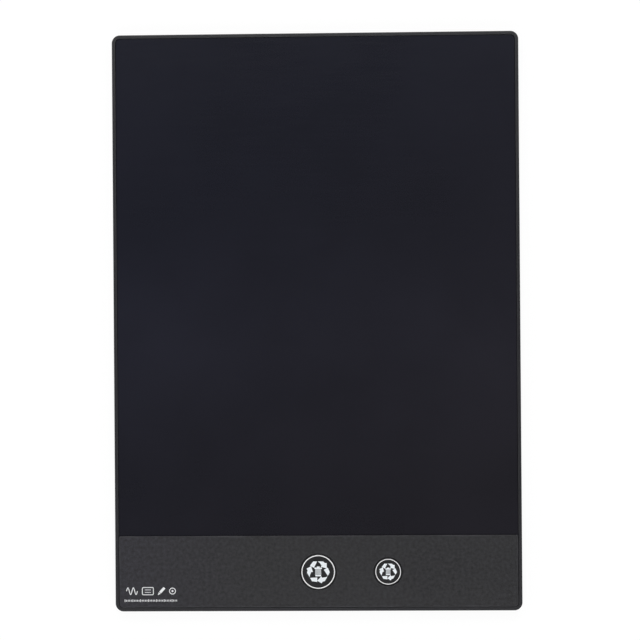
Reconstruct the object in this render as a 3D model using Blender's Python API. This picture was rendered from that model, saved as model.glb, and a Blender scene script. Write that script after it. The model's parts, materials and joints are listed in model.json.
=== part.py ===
"""LCD writing tablet: a thin slab with a pressure-sensitive screen and two erase buttons.

The tablet lies on its back. +X points to its right, +Y to the top of the screen and +Z out of the
screen. The origin is the centre of the back face. Lengths are in metres.
"""

import math

import bmesh
import bpy
from mathutils import Matrix, Vector

# Outline of the tablet
CASE_WIDTH = 0.1760
CASE_LENGTH = 0.2500
CORNER_RADIUS = 0.0035
STRIP_HEIGHT = 0.0326

# Gaps, fits and cutter allowances
LAYER_GAP = 0.00005
FIT_GAP = 0.00015
SLIDE_GAP = 0.00022
OVERRUN = 0.0010
FUSE = 0.0003

# Rear case
RIM_WALL = 0.0015
FLOOR_WALL = 0.0012
BACK_EDGE_RADIUS = 0.0016
RIM_EDGE_RADIUS = 0.0003
SCREEN_LEDGE = 0.0022
STRIP_LEDGE = 0.0012
RIB_HEIGHT = 0.00185
RIB_WALL = 0.0010
RIB_POCKET_RADIUS = 0.0015
RIB_ROWS = 5
RIB_COLUMNS = 4
SMALL_FILLET = 0.0004

# Screen layers, from the ribs up
BOARD_THICKNESS = 0.0010
TAPE_THICKNESS = 0.00015
TAPE_WIDTH = 0.0060
BLACK_FILM_THICKNESS = 0.00015
REAR_FILM_THICKNESS = 0.00020
FRONT_FILM_THICKNESS = 0.00020
SCREEN_GAP = 0.00015
SCREEN_RECESS = 0.00035
FILM_TUCK = 0.0031
FILM_LOW_CORNER = 0.0006

# Leads from the two electrode films to the circuit board
LEAD_THICKNESS = 0.00010
LEAD_WIDTH = 0.0040
LEAD_GRIP = 0.0020
LEAD_REACH = 0.0008
LEAD_FOOT = 0.0020
LEAD_BEND = 0.0003
LEAD_FROM_SCREW = 0.0022
REAR_LEAD_OFFSET = 0.0160

# Control panel
PANEL_PROUD = 0.00015
PANEL_THICKNESS = 0.0011
PANEL_GAP = 0.0002
PANEL_EDGE_RADIUS = 0.00022
PANEL_TOP_CORNER = 0.0006
PANEL_LEAD_ROOM = 0.0016
COLLAR_WALL = 0.0010
COLLAR_SPARE = 0.00015
PIN_DIAMETER = 0.0024
PIN_DEPTH = 0.0022
PIN_FROM_SIDE = 0.0095
PIN_FROM_BOARD = 0.0095
PIN_FROM_RABBET = 0.00315
PIN_FROM_EDGE = 0.00705
SOCKET_WALL = 0.0011
PANEL_RIB_WALL = 0.0009
PANEL_RIB_DEPTH = 0.0010
PANEL_RIBS = 2

# Buttons
BUTTON_DROP = 0.0002
BUTTON_SPACING = 0.0302
ERASE_CAP_DIAMETER = 0.0154
PARTIAL_CAP_DIAMETER = 0.0120
FLANGE_WIDTH = 0.0012
FLANGE_THICKNESS = 0.0007
CAP_EDGE_RADIUS = 0.0002
PLUNGER_DIAMETER = 0.0040
BUTTON_TRAVEL = 0.0003
GUIDE_RIB_WIDTH = 0.0012
GUIDE_RIB_LENGTH = 0.0007
ERASE_DOME_DIAMETER = 0.0080
PARTIAL_DOME_DIAMETER = 0.0064
DOME_HEIGHT = 0.00033
DOME_WALL = 0.00010
DOME_TOP_DIAMETER = 0.0016
DOME_SHOULDER_SHARE = 0.8

# Circuit board
PCB_LENGTH = 0.0740
PCB_THICKNESS = 0.0008
PCB_OFFSET = 0.0090
PCB_FROM_FILM = 0.0021
PCB_FROM_RIM = 0.0049
PCB_CORNER = 0.0010
PCB_BOSS_HEIGHT = 0.0007
PCB_BOSS_DIAMETER = 0.0042
PCB_SCREW_FROM_LEFT = 0.0060
PCB_SCREW_FROM_RIGHT = 0.0035
PCB_SCREW_FROM_EDGE = 0.0026

# Screws
BOARD_SCREW_CORE = 0.0014
BOARD_SCREW_LENGTH = 0.0020
BOARD_SCREW_HEAD = 0.0036
BOARD_SCREW_HEAD_HEIGHT = 0.0008
DOOR_SCREW_CORE = 0.0015
DOOR_SCREW_LENGTH = 0.0028
DOOR_SCREW_HEAD = 0.0036
DOOR_SCREW_HEAD_HEIGHT = 0.0007
THREAD_HEIGHT = 0.0003
SCREW_HEAD_EDGE = 0.0002
DRIVE_WIDTH = 0.0005
DRIVE_LENGTH = 0.0020
DRIVE_DEPTH = 0.0004

# Parts on the circuit board
CHIP_LENGTH = 0.0049
CHIP_WIDTH = 0.0039
CHIP_HEIGHT = 0.0013
CHIP_STANDOFF = 0.0001
CHIP_OFFSET = 0.0164
CHIP_LEG_WIDTH = 0.00042
CHIP_LEG_THICKNESS = 0.00020
CHIP_LEG_REACH = 0.0011
CHIP_LEG_FOOT = 0.0006
CHIP_LEG_PITCH = 0.00127
CHIP_LEGS_A_SIDE = 4
INDUCTOR_WIDTH = 0.0046
INDUCTOR_HEIGHT = 0.0015
INDUCTOR_CORNER = 0.0009
INDUCTOR_WAIST = 0.0005
INDUCTOR_FLANGE = 0.0004
CAPACITOR_LENGTH = 0.0045
CAPACITOR_WIDTH = 0.0032
CAPACITOR_HEIGHT = 0.0014
CAPACITOR_END = 0.0008
CAPACITOR_END_PROUD = 0.00015
PART_OFFSET = 0.0158
PART_GAPS = 3

# Lock switch and its slider
LOCK_OFFSET = 0.0150
LOCK_TRAVEL = 0.0020
LOCK_FROM_BOTTOM = 0.0046
SWITCH_LENGTH = 0.0080
SWITCH_WIDTH = 0.0032
SWITCH_HEIGHT = 0.0014
SWITCH_INSET = 0.0003
SWITCH_SLOT_WALL = 0.0003
LEVER_WIDTH = 0.0012
LEVER_HOLD = 0.0012
SLIDER_LENGTH = 0.0074
SLIDER_WIDTH = 0.0046
SLIDER_THICKNESS = 0.00055
SLIDER_RECESS = 0.0001
SLIDER_CORNER = 0.0009
SLIDER_GROOVES = 5
SLIDER_GROOVE_PITCH = 0.0010
SLIDER_GROOVE_WIDTH = 0.0004
SLIDER_GROOVE_DEPTH = 0.0002
STEM_LENGTH = 0.0026
STEM_WIDTH = 0.0014
SLIDER_DECK = 0.0010
CROSSHEAD_LENGTH = 0.0046
CROSSHEAD_WIDTH = 0.0024
CROSSHEAD_THICKNESS = 0.0004
PRONG_WIDTH = 0.0008
PRONG_DEPTH = 0.0016

# Coin cell
CELL_OFFSET = 0.0520
CELL_DIAMETER = 0.0200
CELL_HEIGHT = 0.0016
CELL_SHEET = 0.00025
CELL_CRIMP = 0.00020
CELL_GASKET = 0.0007
CELL_CAN_DROP = 0.0002
CELL_CORNER = 0.0003
CELL_GAP = 0.0003

# Battery pocket in the case
DECK_THICKNESS = 0.0010
DECK_MARGIN = 0.0013
POCKET_WALL = 0.0012
POCKET_DROP = 0.00015

# Battery door
DOOR_RECESS = 0.0001
DOOR_THICKNESS = 0.0012
DOOR_LEDGE = 0.0019
DOOR_HINGE_ZONE = 0.0050
DOOR_SCREW_ZONE = 0.0075
DOOR_CORNER = 0.0020
DOOR_EDGE_RADIUS = 0.0002
DOOR_TAB_WIDTH = 0.0040
DOOR_TAB_OFFSET = 0.0070
DOOR_TAB_ROOT = 0.0013
DOOR_TAB_LIP = 0.0012
DOOR_TAB_HEIGHT = 0.0008
DOOR_TAB_SWING = 0.0030
DOOR_SCREW_FROM_CELL = 0.0040
SCREW_BOSS_DIAMETER = 0.0048
SCREW_BOSS_SPARE = 0.0003
PAD_THICKNESS = 0.00045
PAD_DIAMETER = 0.0150

# Battery contacts
CONTACT_THICKNESS = 0.0002
CONTACT_BEND = 0.0004
LEAF_BEND_SHARE = 0.4
CONTACT_FOOT = 0.0026
NEGATIVE_WIDTH = 0.0040
NEGATIVE_OFFSET = 0.0050
NEGATIVE_REACH = 0.0060
NEGATIVE_DIMPLE = 0.0016
POSITIVE_HEIGHT = 0.0007
POSITIVE_FOOT_WIDTH = 0.0022
POSITIVE_LEAD = 0.0030
POSITIVE_RUN = 0.0070
POSITIVE_JOG = 0.0020
POSITIVE_FROM_EDGE = 0.00175

# Facets of round shapes
CORNER_STEPS = 10
SMALL_CORNER_STEPS = 4
EDGE_STEPS = 5
SMALL_EDGE_STEPS = 2
ROUND_SIDES = 48
SMALL_ROUND_SIDES = 20
CELL_SIDES = 36
BEND_STEPS = 3
SHARP_ANGLE_DEG = 20

# Heights worked out from the layers, from the back face up
RIB_TOP = FLOOR_WALL + RIB_HEIGHT
BOARD_LOW = RIB_TOP + LAYER_GAP
BOARD_TOP = BOARD_LOW + BOARD_THICKNESS
TAPE_LOW = BOARD_TOP + LAYER_GAP
TAPE_TOP = TAPE_LOW + TAPE_THICKNESS
BLACK_LOW = TAPE_TOP + LAYER_GAP
BLACK_TOP = BLACK_LOW + BLACK_FILM_THICKNESS
REAR_LOW = BLACK_TOP + LAYER_GAP
REAR_TOP = REAR_LOW + REAR_FILM_THICKNESS
FRONT_LOW = REAR_TOP + LAYER_GAP
SCREEN_TOP = FRONT_LOW + FRONT_FILM_THICKNESS
RIM_TOP = SCREEN_TOP + SCREEN_RECESS
PANEL_TOP = RIM_TOP + PANEL_PROUD
PANEL_LOW = PANEL_TOP - PANEL_THICKNESS
PANEL_SEAT = PANEL_LOW - LAYER_GAP
LIP_LOW = SCREEN_TOP + LAYER_GAP
PCB_LOW = FLOOR_WALL + PCB_BOSS_HEIGHT + LAYER_GAP
PCB_TOP = PCB_LOW + PCB_THICKNESS
PART_LOW = PCB_TOP + LAYER_GAP
DOME_TOP = PART_LOW + DOME_HEIGHT
FLANGE_TOP = PANEL_LOW - LAYER_GAP
FLANGE_LOW = FLANGE_TOP - FLANGE_THICKNESS
COLLAR_LOW = FLANGE_LOW - BUTTON_TRAVEL - COLLAR_SPARE
DOOR_TOP = DOOR_RECESS + DOOR_THICKNESS
DECK_LOW = DOOR_TOP + LAYER_GAP
DECK_TOP = DECK_LOW + DECK_THICKNESS
PAD_LOW = DOOR_TOP + LAYER_GAP
CELL_LOW = PAD_LOW + PAD_THICKNESS + LAYER_GAP
CELL_TOP = CELL_LOW + CELL_HEIGHT
POCKET_TOP = CELL_TOP - POCKET_DROP
SLIDER_TOP = SLIDER_RECESS + SLIDER_THICKNESS
SLIDER_DECK_LOW = SLIDER_TOP + LAYER_GAP
SLIDER_DECK_TOP = SLIDER_DECK_LOW + SLIDER_DECK

# Places worked out from the outline
HALF_WIDTH = CASE_WIDTH / 2
HALF_LENGTH = CASE_LENGTH / 2
BAY_X = HALF_WIDTH - RIM_WALL
BAY_LOW_Y = -HALF_LENGTH + RIM_WALL
BAY_HIGH_Y = HALF_LENGTH - RIM_WALL
BAY_RADIUS = CORNER_RADIUS - RIM_WALL
STRIP_TOP_Y = -HALF_LENGTH + STRIP_HEIGHT
FILM_LOW_Y = STRIP_TOP_Y - FILM_TUCK
SPLIT_Y = FILM_LOW_Y - PANEL_GAP
RABBET_Y = FILM_LOW_Y - PANEL_LEAD_ROOM
FILM_X = BAY_X - SCREEN_GAP
FILM_HIGH_Y = BAY_HIGH_Y - SCREEN_GAP
FILM_RADIUS = BAY_RADIUS - SCREEN_GAP
PANEL_X = BAY_X - PANEL_GAP
PANEL_LOW_Y = BAY_LOW_Y + PANEL_GAP
PANEL_RADIUS = BAY_RADIUS - PANEL_GAP
PIN_HIGH_Y = RABBET_Y - PIN_FROM_RABBET
PIN_LOW_Y = PANEL_LOW_Y + PIN_FROM_EDGE
SOCKET_RADIUS = PIN_DIAMETER / 2 + FIT_GAP
BUTTON_Y = (PANEL_LOW_Y + STRIP_TOP_Y) / 2 - BUTTON_DROP
PCB_LEFT = PCB_OFFSET - PCB_LENGTH / 2
PCB_RIGHT = PCB_OFFSET + PCB_LENGTH / 2
PCB_HIGH_Y = FILM_LOW_Y - PCB_FROM_FILM
PCB_LOW_Y = BAY_LOW_Y + PCB_FROM_RIM
BOARD_SCREW_X = PCB_LEFT + PCB_SCREW_FROM_LEFT
FRONT_LEAD_X = BOARD_SCREW_X + BOARD_SCREW_HEAD / 2 + LEAD_FROM_SCREW + LEAD_WIDTH / 2
LEAD_END_Y = PCB_HIGH_Y - LEAD_FOOT
CROSS_WALL_Y = STRIP_TOP_Y - FILM_TUCK / 2
CELL_X = -CELL_OFFSET
CELL_RADIUS = CELL_DIAMETER / 2
BORE_RADIUS = CELL_RADIUS + CELL_GAP
DOOR_LEFT = CELL_X - BORE_RADIUS - DOOR_HINGE_ZONE
DOOR_RIGHT = CELL_X + BORE_RADIUS + DOOR_SCREW_ZONE
DOOR_HALF = BORE_RADIUS + DOOR_LEDGE
DOOR_SCREW_X = CELL_X + BORE_RADIUS + DOOR_SCREW_FROM_CELL
LOCK_Y = -HALF_LENGTH + LOCK_FROM_BOTTOM
SLIDER_X = LOCK_OFFSET - LOCK_TRAVEL / 2
SWITCH_LOW_Y = PCB_LOW_Y + SWITCH_INSET
SWITCH_HIGH_Y = SWITCH_LOW_Y + SWITCH_WIDTH
PART_GAP = (LEAD_END_Y - SWITCH_HIGH_Y - CAPACITOR_WIDTH - INDUCTOR_WIDTH) / PART_GAPS
CAPACITOR_Y = SWITCH_HIGH_Y + PART_GAP + CAPACITOR_WIDTH / 2
INDUCTOR_Y = LEAD_END_Y - PART_GAP - INDUCTOR_WIDTH / 2
LEVER_LOW = PART_LOW + SWITCH_SLOT_WALL + LAYER_GAP
LEVER_HIGH = PART_LOW + SWITCH_HEIGHT - SWITCH_SLOT_WALL - LAYER_GAP


def clear_scene():
    """Removes whatever the scene held before."""
    for obj in list(bpy.data.objects):
        bpy.data.objects.remove(obj, do_unlink=True)


def linear(channel):
    """One display colour channel, 0 to 255, as scene-linear light."""
    share = channel / 255
    return share / 12.92 if share <= 0.04045 else ((share + 0.055) / 1.055) ** 2.4


def finish(name, colour, roughness, metallic=0.0):
    """A Principled material of one display colour."""
    material = bpy.data.materials.new(name)
    material.use_nodes = True
    shader = material.node_tree.nodes["Principled BSDF"]
    shader.inputs["Base Color"].default_value = (*map(linear, colour), 1.0)
    shader.inputs["Roughness"].default_value = roughness
    shader.inputs["Metallic"].default_value = metallic
    return material


def rounded(x0, x1, y0, y1, low_radius, high_radius=None, steps=SMALL_CORNER_STEPS):
    """Outline of a rectangle with round corners. high_radius is that of the two corners at y1."""
    high_radius = high_radius or low_radius
    corners = (
        (x1 - low_radius, y0 + low_radius, low_radius, -90),
        (x1 - high_radius, y1 - high_radius, high_radius, 0),
        (x0 + high_radius, y1 - high_radius, high_radius, 90),
        (x0 + low_radius, y0 + low_radius, low_radius, 180),
    )
    outline = []
    for centre_x, centre_y, radius, start in corners:
        for step in range(steps + 1):
            angle = math.radians(start + 90 * step / steps)
            outline.append((centre_x + radius * math.cos(angle), centre_y + radius * math.sin(angle)))
    return outline


def circle(centre_x, centre_y, radius, sides=ROUND_SIDES):
    """Outline of a circle."""
    turns = (2 * math.pi * side / sides for side in range(sides))
    return [(centre_x + radius * math.cos(a), centre_y + radius * math.sin(a)) for a in turns]


def at_height(outline, z):
    """The outline's points at one height."""
    return [(x, y, z) for x, y in outline]


def object_from(name, mesh_data, material):
    """A scene object from finished bmesh data, its faces turned outwards."""
    bmesh.ops.recalc_face_normals(mesh_data, faces=mesh_data.faces)
    mesh = bpy.data.meshes.new(name)
    mesh_data.to_mesh(mesh)
    mesh_data.free()
    if material:
        mesh.materials.append(material)
    obj = bpy.data.objects.new(name, mesh)
    bpy.context.scene.collection.objects.link(obj)
    return obj


def add_loft(mesh_data, rings, closed=False):
    """Joins rings of equal point counts, and caps the ends unless the last ring joins the first."""
    loops = [[mesh_data.verts.new(point) for point in ring] for ring in rings]
    pairs = list(zip(loops, loops[1:]))
    if closed:
        pairs.append((loops[-1], loops[0]))
    else:
        mesh_data.faces.new(loops[0])
        mesh_data.faces.new(loops[-1])
    for low, high in pairs:
        for this in range(len(low)):
            after = (this + 1) % len(low)
            mesh_data.faces.new((low[this], low[after], high[after], high[this]))


def loft(name, rings, material=None, closed=False):
    """An object lofted through rings of points."""
    mesh_data = bmesh.new()
    add_loft(mesh_data, rings, closed)
    return object_from(name, mesh_data, material)


def prism(name, outline, z0, z1, material=None):
    """An outline extruded from one height to another."""
    return loft(name, [at_height(outline, z0), at_height(outline, z1)], material)


def block(name, x0, x1, y0, y1, z0, z1, material=None):
    """A rectangular block."""
    return prism(name, [(x0, y0), (x1, y0), (x1, y1), (x0, y1)], z0, z1, material)


def slab(name, outline_at, z0, z1, low_edge, high_edge, material=None, low_steps=SMALL_EDGE_STEPS):
    """A plate with round edges. outline_at gives its outline for an inset from the full size."""
    rings = []
    for radius, z, turn, steps in ((low_edge, z0, 1, low_steps), (high_edge, z1, -1, SMALL_EDGE_STEPS)):
        arc = []
        for step in range(steps + 1 if radius else 1):
            angle = math.radians(90 * step / steps)
            inset = radius * (1 - math.sin(angle))
            arc.append(at_height(outline_at(inset), z + turn * radius * (1 - math.cos(angle))))
        rings += arc if turn == 1 else arc[::-1]
    return loft(name, rings, material)


def turned(name, centre, profile, material=None, sides=ROUND_SIDES, closed=False):
    """A turned shape round a vertical axis, from pairs of radius and height."""
    rings = [at_height(circle(*centre, radius, sides), z) for radius, z in profile]
    return loft(name, rings, material, closed)


def cylinder(name, centre, radius, z0, z1, material=None, sides=ROUND_SIDES):
    """A plain upright cylinder."""
    return turned(name, centre, ((radius, z0), (radius, z1)), material, sides)


def bent_path(points, radius):
    """A path through the points, with each inner corner rounded to the radius."""
    corners = [Vector(point) for point in points]
    path = [corners[0]]
    for before, corner, after in zip(corners, corners[1:], corners[2:]):
        arrive = (corner - before).normalized()
        leave = (after - corner).normalized()
        turn = arrive.angle(leave)
        start = corner - arrive * radius * math.tan(turn / 2)
        side = (leave - arrive * leave.dot(arrive)).normalized()
        for step in range(BEND_STEPS + 1):
            angle = turn * step / BEND_STEPS
            path.append(start + arrive * radius * math.sin(angle) + side * radius * (1 - math.cos(angle)))
    return path + [corners[-1]]


def ribbon(path, thickness):
    """Outline of a strip of even thickness along a path in a plane."""
    sides = ([], [])
    for index, point in enumerate(path):
        arrive = (point - path[index - 1]).normalized() if index else None
        leave = (path[index + 1] - point).normalized() if index + 1 < len(path) else None
        along = ((arrive or leave) + (leave or arrive)).normalized()
        mitre = along.dot(leave or arrive)
        across = Vector((-along.y, along.x)) * thickness / 2 / mitre
        sides[0].append(point + across)
        sides[1].append(point - across)
    return [tuple(point) for point in sides[0] + sides[1][::-1]]


def strip_in_yz(name, path, thickness, x0, x1, material=None):
    """A bent strip whose path lies in the YZ plane."""
    outline = ribbon(path, thickness)
    return loft(name, [[(x, y, z) for y, z in outline] for x in (x0, x1)], material)


def strip_in_xz(name, path, thickness, y0, y1, material=None):
    """A bent strip whose path lies in the XZ plane."""
    outline = ribbon(path, thickness)
    return loft(name, [[(x, y, z) for x, z in outline] for y in (y0, y1)], material)


def combine(piece, other, operation):
    """Adds a Boolean with a helper object, which leaves the render."""
    modifier = piece.modifiers.new(other.name, "BOOLEAN")
    modifier.operation = operation
    modifier.solver = "EXACT"
    modifier.object = other
    other.hide_render = True
    other.display_type = "WIRE"


def cut(piece, *others):
    """Cuts each helper from the piece."""
    for other in others:
        combine(piece, other, "DIFFERENCE")


def join(piece, *others):
    """Fuses each helper with the piece."""
    for other in others:
        combine(piece, other, "UNION")


def smooth(piece):
    """Shades a round piece smooth, apart from its sharp edges."""
    piece.data.shade_smooth()
    piece.data.set_sharp_from_angle(angle=math.radians(SHARP_ANGLE_DEG))


def turn_about(piece, pivot, parent=None):
    """Moves the piece's origin to its joint axis, or hangs it on an empty that stands there."""
    place = Vector(pivot)
    piece.data.transform(Matrix.Translation(-place))
    if parent:
        piece.parent = parent
    else:
        piece.location = place
    for modifier in piece.modifiers:
        if modifier.type == "BOOLEAN":
            modifier.object.parent = piece
            modifier.object.matrix_parent_inverse = Matrix.Translation(-place)


def case_outline(inset):
    """The tablet's outline, drawn in by the inset."""
    return rounded(
        -HALF_WIDTH + inset, HALF_WIDTH - inset, -HALF_LENGTH + inset, HALF_LENGTH - inset,
        CORNER_RADIUS - inset, steps=CORNER_STEPS,
    )


def screen_bay():
    """The hollow that holds the screen's layers, down to the ribs."""
    outline = rounded(-BAY_X, BAY_X, SPLIT_Y, BAY_HIGH_Y, SMALL_FILLET, BAY_RADIUS, CORNER_STEPS)
    return prism("screen_bay", outline, RIB_TOP, RIM_TOP + OVERRUN)


def strip_bays():
    """The hollows at the strip: the bay of the control panel and the space under it."""
    top = RIM_TOP + OVERRUN
    strip = rounded(-BAY_X, BAY_X, BAY_LOW_Y, SPLIT_Y + OVERRUN, BAY_RADIUS, SMALL_FILLET, CORNER_STEPS)
    under = rounded(
        -BAY_X + STRIP_LEDGE, BAY_X - STRIP_LEDGE, BAY_LOW_Y + STRIP_LEDGE, CROSS_WALL_Y, SMALL_FILLET
    )
    return (
        prism("strip_bay", strip, PANEL_SEAT, top),
        prism("strip_hollow", under, FLOOR_WALL, top),
    )


def rib_pockets():
    """The pockets under the screen, which leave a lattice of ribs between them."""
    low_x, high_x = -BAY_X + SCREEN_LEDGE, BAY_X - SCREEN_LEDGE
    low_y, high_y = CROSS_WALL_Y + RIB_WALL, BAY_HIGH_Y - SCREEN_LEDGE
    pitch_x = (high_x - low_x + RIB_WALL) / RIB_COLUMNS
    pitch_y = (high_y - low_y + RIB_WALL) / RIB_ROWS
    pockets = bmesh.new()
    for column in range(RIB_COLUMNS):
        for row in range(RIB_ROWS):
            x, y = low_x + column * pitch_x, low_y + row * pitch_y
            outline = rounded(x, x + pitch_x - RIB_WALL, y, y + pitch_y - RIB_WALL, RIB_POCKET_RADIUS, steps=2)
            add_loft(pockets, [at_height(outline, FLOOR_WALL), at_height(outline, RIB_TOP + OVERRUN)])
    return object_from("rib_pockets", pockets, None)


def pin_places():
    """Centres of the pins that locate the control panel."""
    columns = (-HALF_WIDTH + PIN_FROM_SIDE, PCB_RIGHT + PIN_FROM_BOARD, HALF_WIDTH - PIN_FROM_SIDE)
    return [(x, y) for x in columns for y in (PIN_LOW_Y, PIN_HIGH_Y)]


def board_screw_places():
    """Centres of the screws that hold the circuit board."""
    return (
        (BOARD_SCREW_X, PCB_HIGH_Y - PCB_SCREW_FROM_EDGE),
        (BOARD_SCREW_X, PCB_LOW_Y + PCB_SCREW_FROM_EDGE),
        (PCB_RIGHT - PCB_SCREW_FROM_RIGHT, BUTTON_Y),
    )


def posts(name, places, radius, z0, z1):
    """One helper that holds an equal upright post at each place."""
    mesh_data = bmesh.new()
    for place in places:
        outline = circle(*place, radius, SMALL_ROUND_SIDES)
        add_loft(mesh_data, [at_height(outline, z0), at_height(outline, z1)])
    return object_from(name, mesh_data, None)


def door_outline(inset):
    """The battery door's outline, drawn in by the inset, or let out by a negative one."""
    return rounded(
        DOOR_LEFT + inset, DOOR_RIGHT - inset, BUTTON_Y - DOOR_HALF + inset, BUTTON_Y + DOOR_HALF - inset,
        DOOR_CORNER - inset,
    )


def add_battery_pocket(case):
    """The deck over the door, the ring round the cell, the screw boss and the slots for the door's tabs."""
    cell = (CELL_X, BUTTON_Y)
    screw = (DOOR_SCREW_X, BUTTON_Y)
    boss_top = DOOR_RECESS + DOOR_SCREW_HEAD_HEIGHT + DOOR_SCREW_LENGTH + SCREW_BOSS_SPARE
    join(
        case,
        prism("battery_deck", door_outline(-DECK_MARGIN), FLOOR_WALL - FUSE, DECK_TOP),
        cylinder("battery_ring", cell, BORE_RADIUS + POCKET_WALL, DECK_TOP - FUSE, POCKET_TOP),
        cylinder("door_screw_boss", screw, SCREW_BOSS_DIAMETER / 2, DECK_TOP - FUSE, boss_top + FUSE, None,
                 SMALL_ROUND_SIDES),
    )
    cut(
        case,
        prism("door_recess", door_outline(-SLIDE_GAP), -OVERRUN, DECK_LOW),
        cylinder("cell_bore", cell, BORE_RADIUS, -OVERRUN, CELL_TOP + OVERRUN),
        cylinder("door_screw_hole", screw, DOOR_SCREW_CORE / 2 + THREAD_HEIGHT, -OVERRUN, boss_top, None,
                 SMALL_ROUND_SIDES),
    )
    for side in (-1, 1):
        centre = BUTTON_Y + side * DOOR_TAB_OFFSET
        half = DOOR_TAB_WIDTH / 2 + SLIDE_GAP
        cut(case, block(
            f"tab_slot_{side}", DOOR_LEFT - DOOR_TAB_LIP - SLIDE_GAP - SLIDE_GAP, DOOR_LEFT + DOOR_TAB_SWING,
            centre - half, centre + half, FLOOR_WALL, DECK_TOP + OVERRUN,
        ))
    blade = CELL_RADIUS + LAYER_GAP + CONTACT_THICKNESS + FIT_GAP
    cut(case, block(
        "positive_slot", CELL_X - POSITIVE_LEAD - FIT_GAP, CELL_X + BORE_RADIUS + POCKET_WALL,
        BUTTON_Y - blade, BUTTON_Y - BORE_RADIUS / 2, DECK_TOP + LAYER_GAP, CELL_TOP + OVERRUN,
    ))


def add_slider_track(case):
    """The thicker floor round the lock slider, its shallow recess on the back and its slot."""
    half_recess = (SLIDER_LENGTH + LOCK_TRAVEL) / 2 + SLIDE_GAP
    half_width = SLIDER_WIDTH / 2 + SLIDE_GAP
    half_deck = half_recess + SLIDER_DECK
    recess = rounded(
        LOCK_OFFSET - half_recess, LOCK_OFFSET + half_recess, LOCK_Y - half_width, LOCK_Y + half_width,
        SLIDER_CORNER + SLIDE_GAP,
    )
    half_slot = (STEM_LENGTH + LOCK_TRAVEL) / 2 + SLIDE_GAP
    slot_side = STEM_WIDTH / 2 + SLIDE_GAP
    join(case, block(
        "slider_deck", LOCK_OFFSET - half_deck, LOCK_OFFSET + half_deck,
        BAY_LOW_Y, LOCK_Y + half_width + SLIDER_DECK, FLOOR_WALL - FUSE, SLIDER_DECK_TOP,
    ))
    cut(
        case,
        prism("slider_recess", recess, -OVERRUN, SLIDER_DECK_LOW),
        block("slider_slot", LOCK_OFFSET - half_slot, LOCK_OFFSET + half_slot,
              LOCK_Y - slot_side, LOCK_Y + slot_side, -OVERRUN, SLIDER_DECK_TOP + OVERRUN),
    )


def build_rear_case(material):
    """The moulded tray: rim, ledges, rib lattice, bosses, battery pocket and slider track."""
    case = slab("rear_case", case_outline, 0, RIM_TOP, BACK_EDGE_RADIUS, RIM_EDGE_RADIUS, material, EDGE_STEPS)
    cut(case, *strip_bays(), rib_pockets())
    pins, screws = pin_places(), board_screw_places()
    socket_floor = PANEL_LOW - PIN_DEPTH - FIT_GAP
    boss_top = PCB_LOW - LAYER_GAP
    pilot = BOARD_SCREW_CORE / 2 + FIT_GAP
    join(
        case,
        posts("pin_sockets", pins, SOCKET_RADIUS + SOCKET_WALL, FLOOR_WALL - FUSE, PANEL_SEAT),
        posts("board_bosses", screws, PCB_BOSS_DIAMETER / 2, FLOOR_WALL - FUSE, boss_top),
    )
    cut(
        case,
        posts("pin_holes", pins, SOCKET_RADIUS, socket_floor, PANEL_SEAT + OVERRUN),
        posts("board_pilots", screws, pilot, PCB_TOP - BOARD_SCREW_LENGTH - FIT_GAP, boss_top + OVERRUN),
    )
    add_battery_pocket(case)
    add_slider_track(case)
    cut(case, screen_bay())


def screen_outline(inset=0.0):
    """Outline of the screen's layers, drawn in by the inset."""
    return rounded(
        -FILM_X + inset, FILM_X - inset, FILM_LOW_Y + inset, FILM_HIGH_Y - inset,
        FILM_LOW_CORNER, FILM_RADIUS,
    )


def lead_notch(name, centre_x, z0, z1):
    """The cut in a film that lets a lead reach the film next to it."""
    half = LEAD_WIDTH / 2 + FIT_GAP
    return block(
        name, centre_x - half, centre_x + half, FILM_LOW_Y - OVERRUN, FILM_LOW_Y + LEAD_GRIP + FIT_GAP,
        z0 - OVERRUN, z1 + OVERRUN,
    )


def build_screen(front, rear, black, tape, board):
    """The screen's layers: two electrode films, the black film, its bond tape and the backing board."""
    prism("backing_board", screen_outline(), BOARD_LOW, BOARD_TOP, board)
    inner = screen_outline(TAPE_WIDTH)
    outer = screen_outline()
    loft(
        "film_bond_tape",
        [at_height(outer, TAPE_LOW), at_height(outer, TAPE_TOP), at_height(inner, TAPE_TOP),
         at_height(inner, TAPE_LOW)],
        tape, closed=True,
    )
    prism("black_backing_film", screen_outline(), BLACK_LOW, BLACK_TOP, black)
    rear_film = prism("rear_electrode_film", screen_outline(), REAR_LOW, REAR_TOP, rear)
    cut(rear_film, lead_notch("rear_film_notch", FRONT_LEAD_X, REAR_LOW, REAR_TOP))
    front_film = prism("writing_film", screen_outline(), FRONT_LOW, SCREEN_TOP, front)
    cut(front_film, lead_notch("front_film_notch", REAR_LEAD_OFFSET, FRONT_LOW, SCREEN_TOP))


def build_lead(name, centre_x, z, material):
    """A flexible lead from a film's edge down to its pad on the circuit board."""
    drop_y = FILM_LOW_Y - LEAD_REACH
    pad_z = PART_LOW + LEAD_THICKNESS / 2
    path = bent_path(
        ((FILM_LOW_Y + LEAD_GRIP, z), (drop_y, z), (drop_y, pad_z), (LEAD_END_Y, pad_z)), LEAD_BEND
    )
    half = LEAD_WIDTH / 2
    strip_in_yz(name, path, LEAD_THICKNESS, centre_x - half, centre_x + half, material)


def panel_outline(inset):
    """The control panel's outline, drawn in by the inset."""
    return rounded(
        -PANEL_X + inset, PANEL_X - inset, PANEL_LOW_Y + inset, STRIP_TOP_Y - inset,
        PANEL_RADIUS - inset, PANEL_TOP_CORNER - inset, CORNER_STEPS,
    )


def button_places():
    """Centre and cap diameter of each button."""
    return (((0, BUTTON_Y), ERASE_CAP_DIAMETER), ((BUTTON_SPACING, BUTTON_Y), PARTIAL_CAP_DIAMETER))


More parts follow.
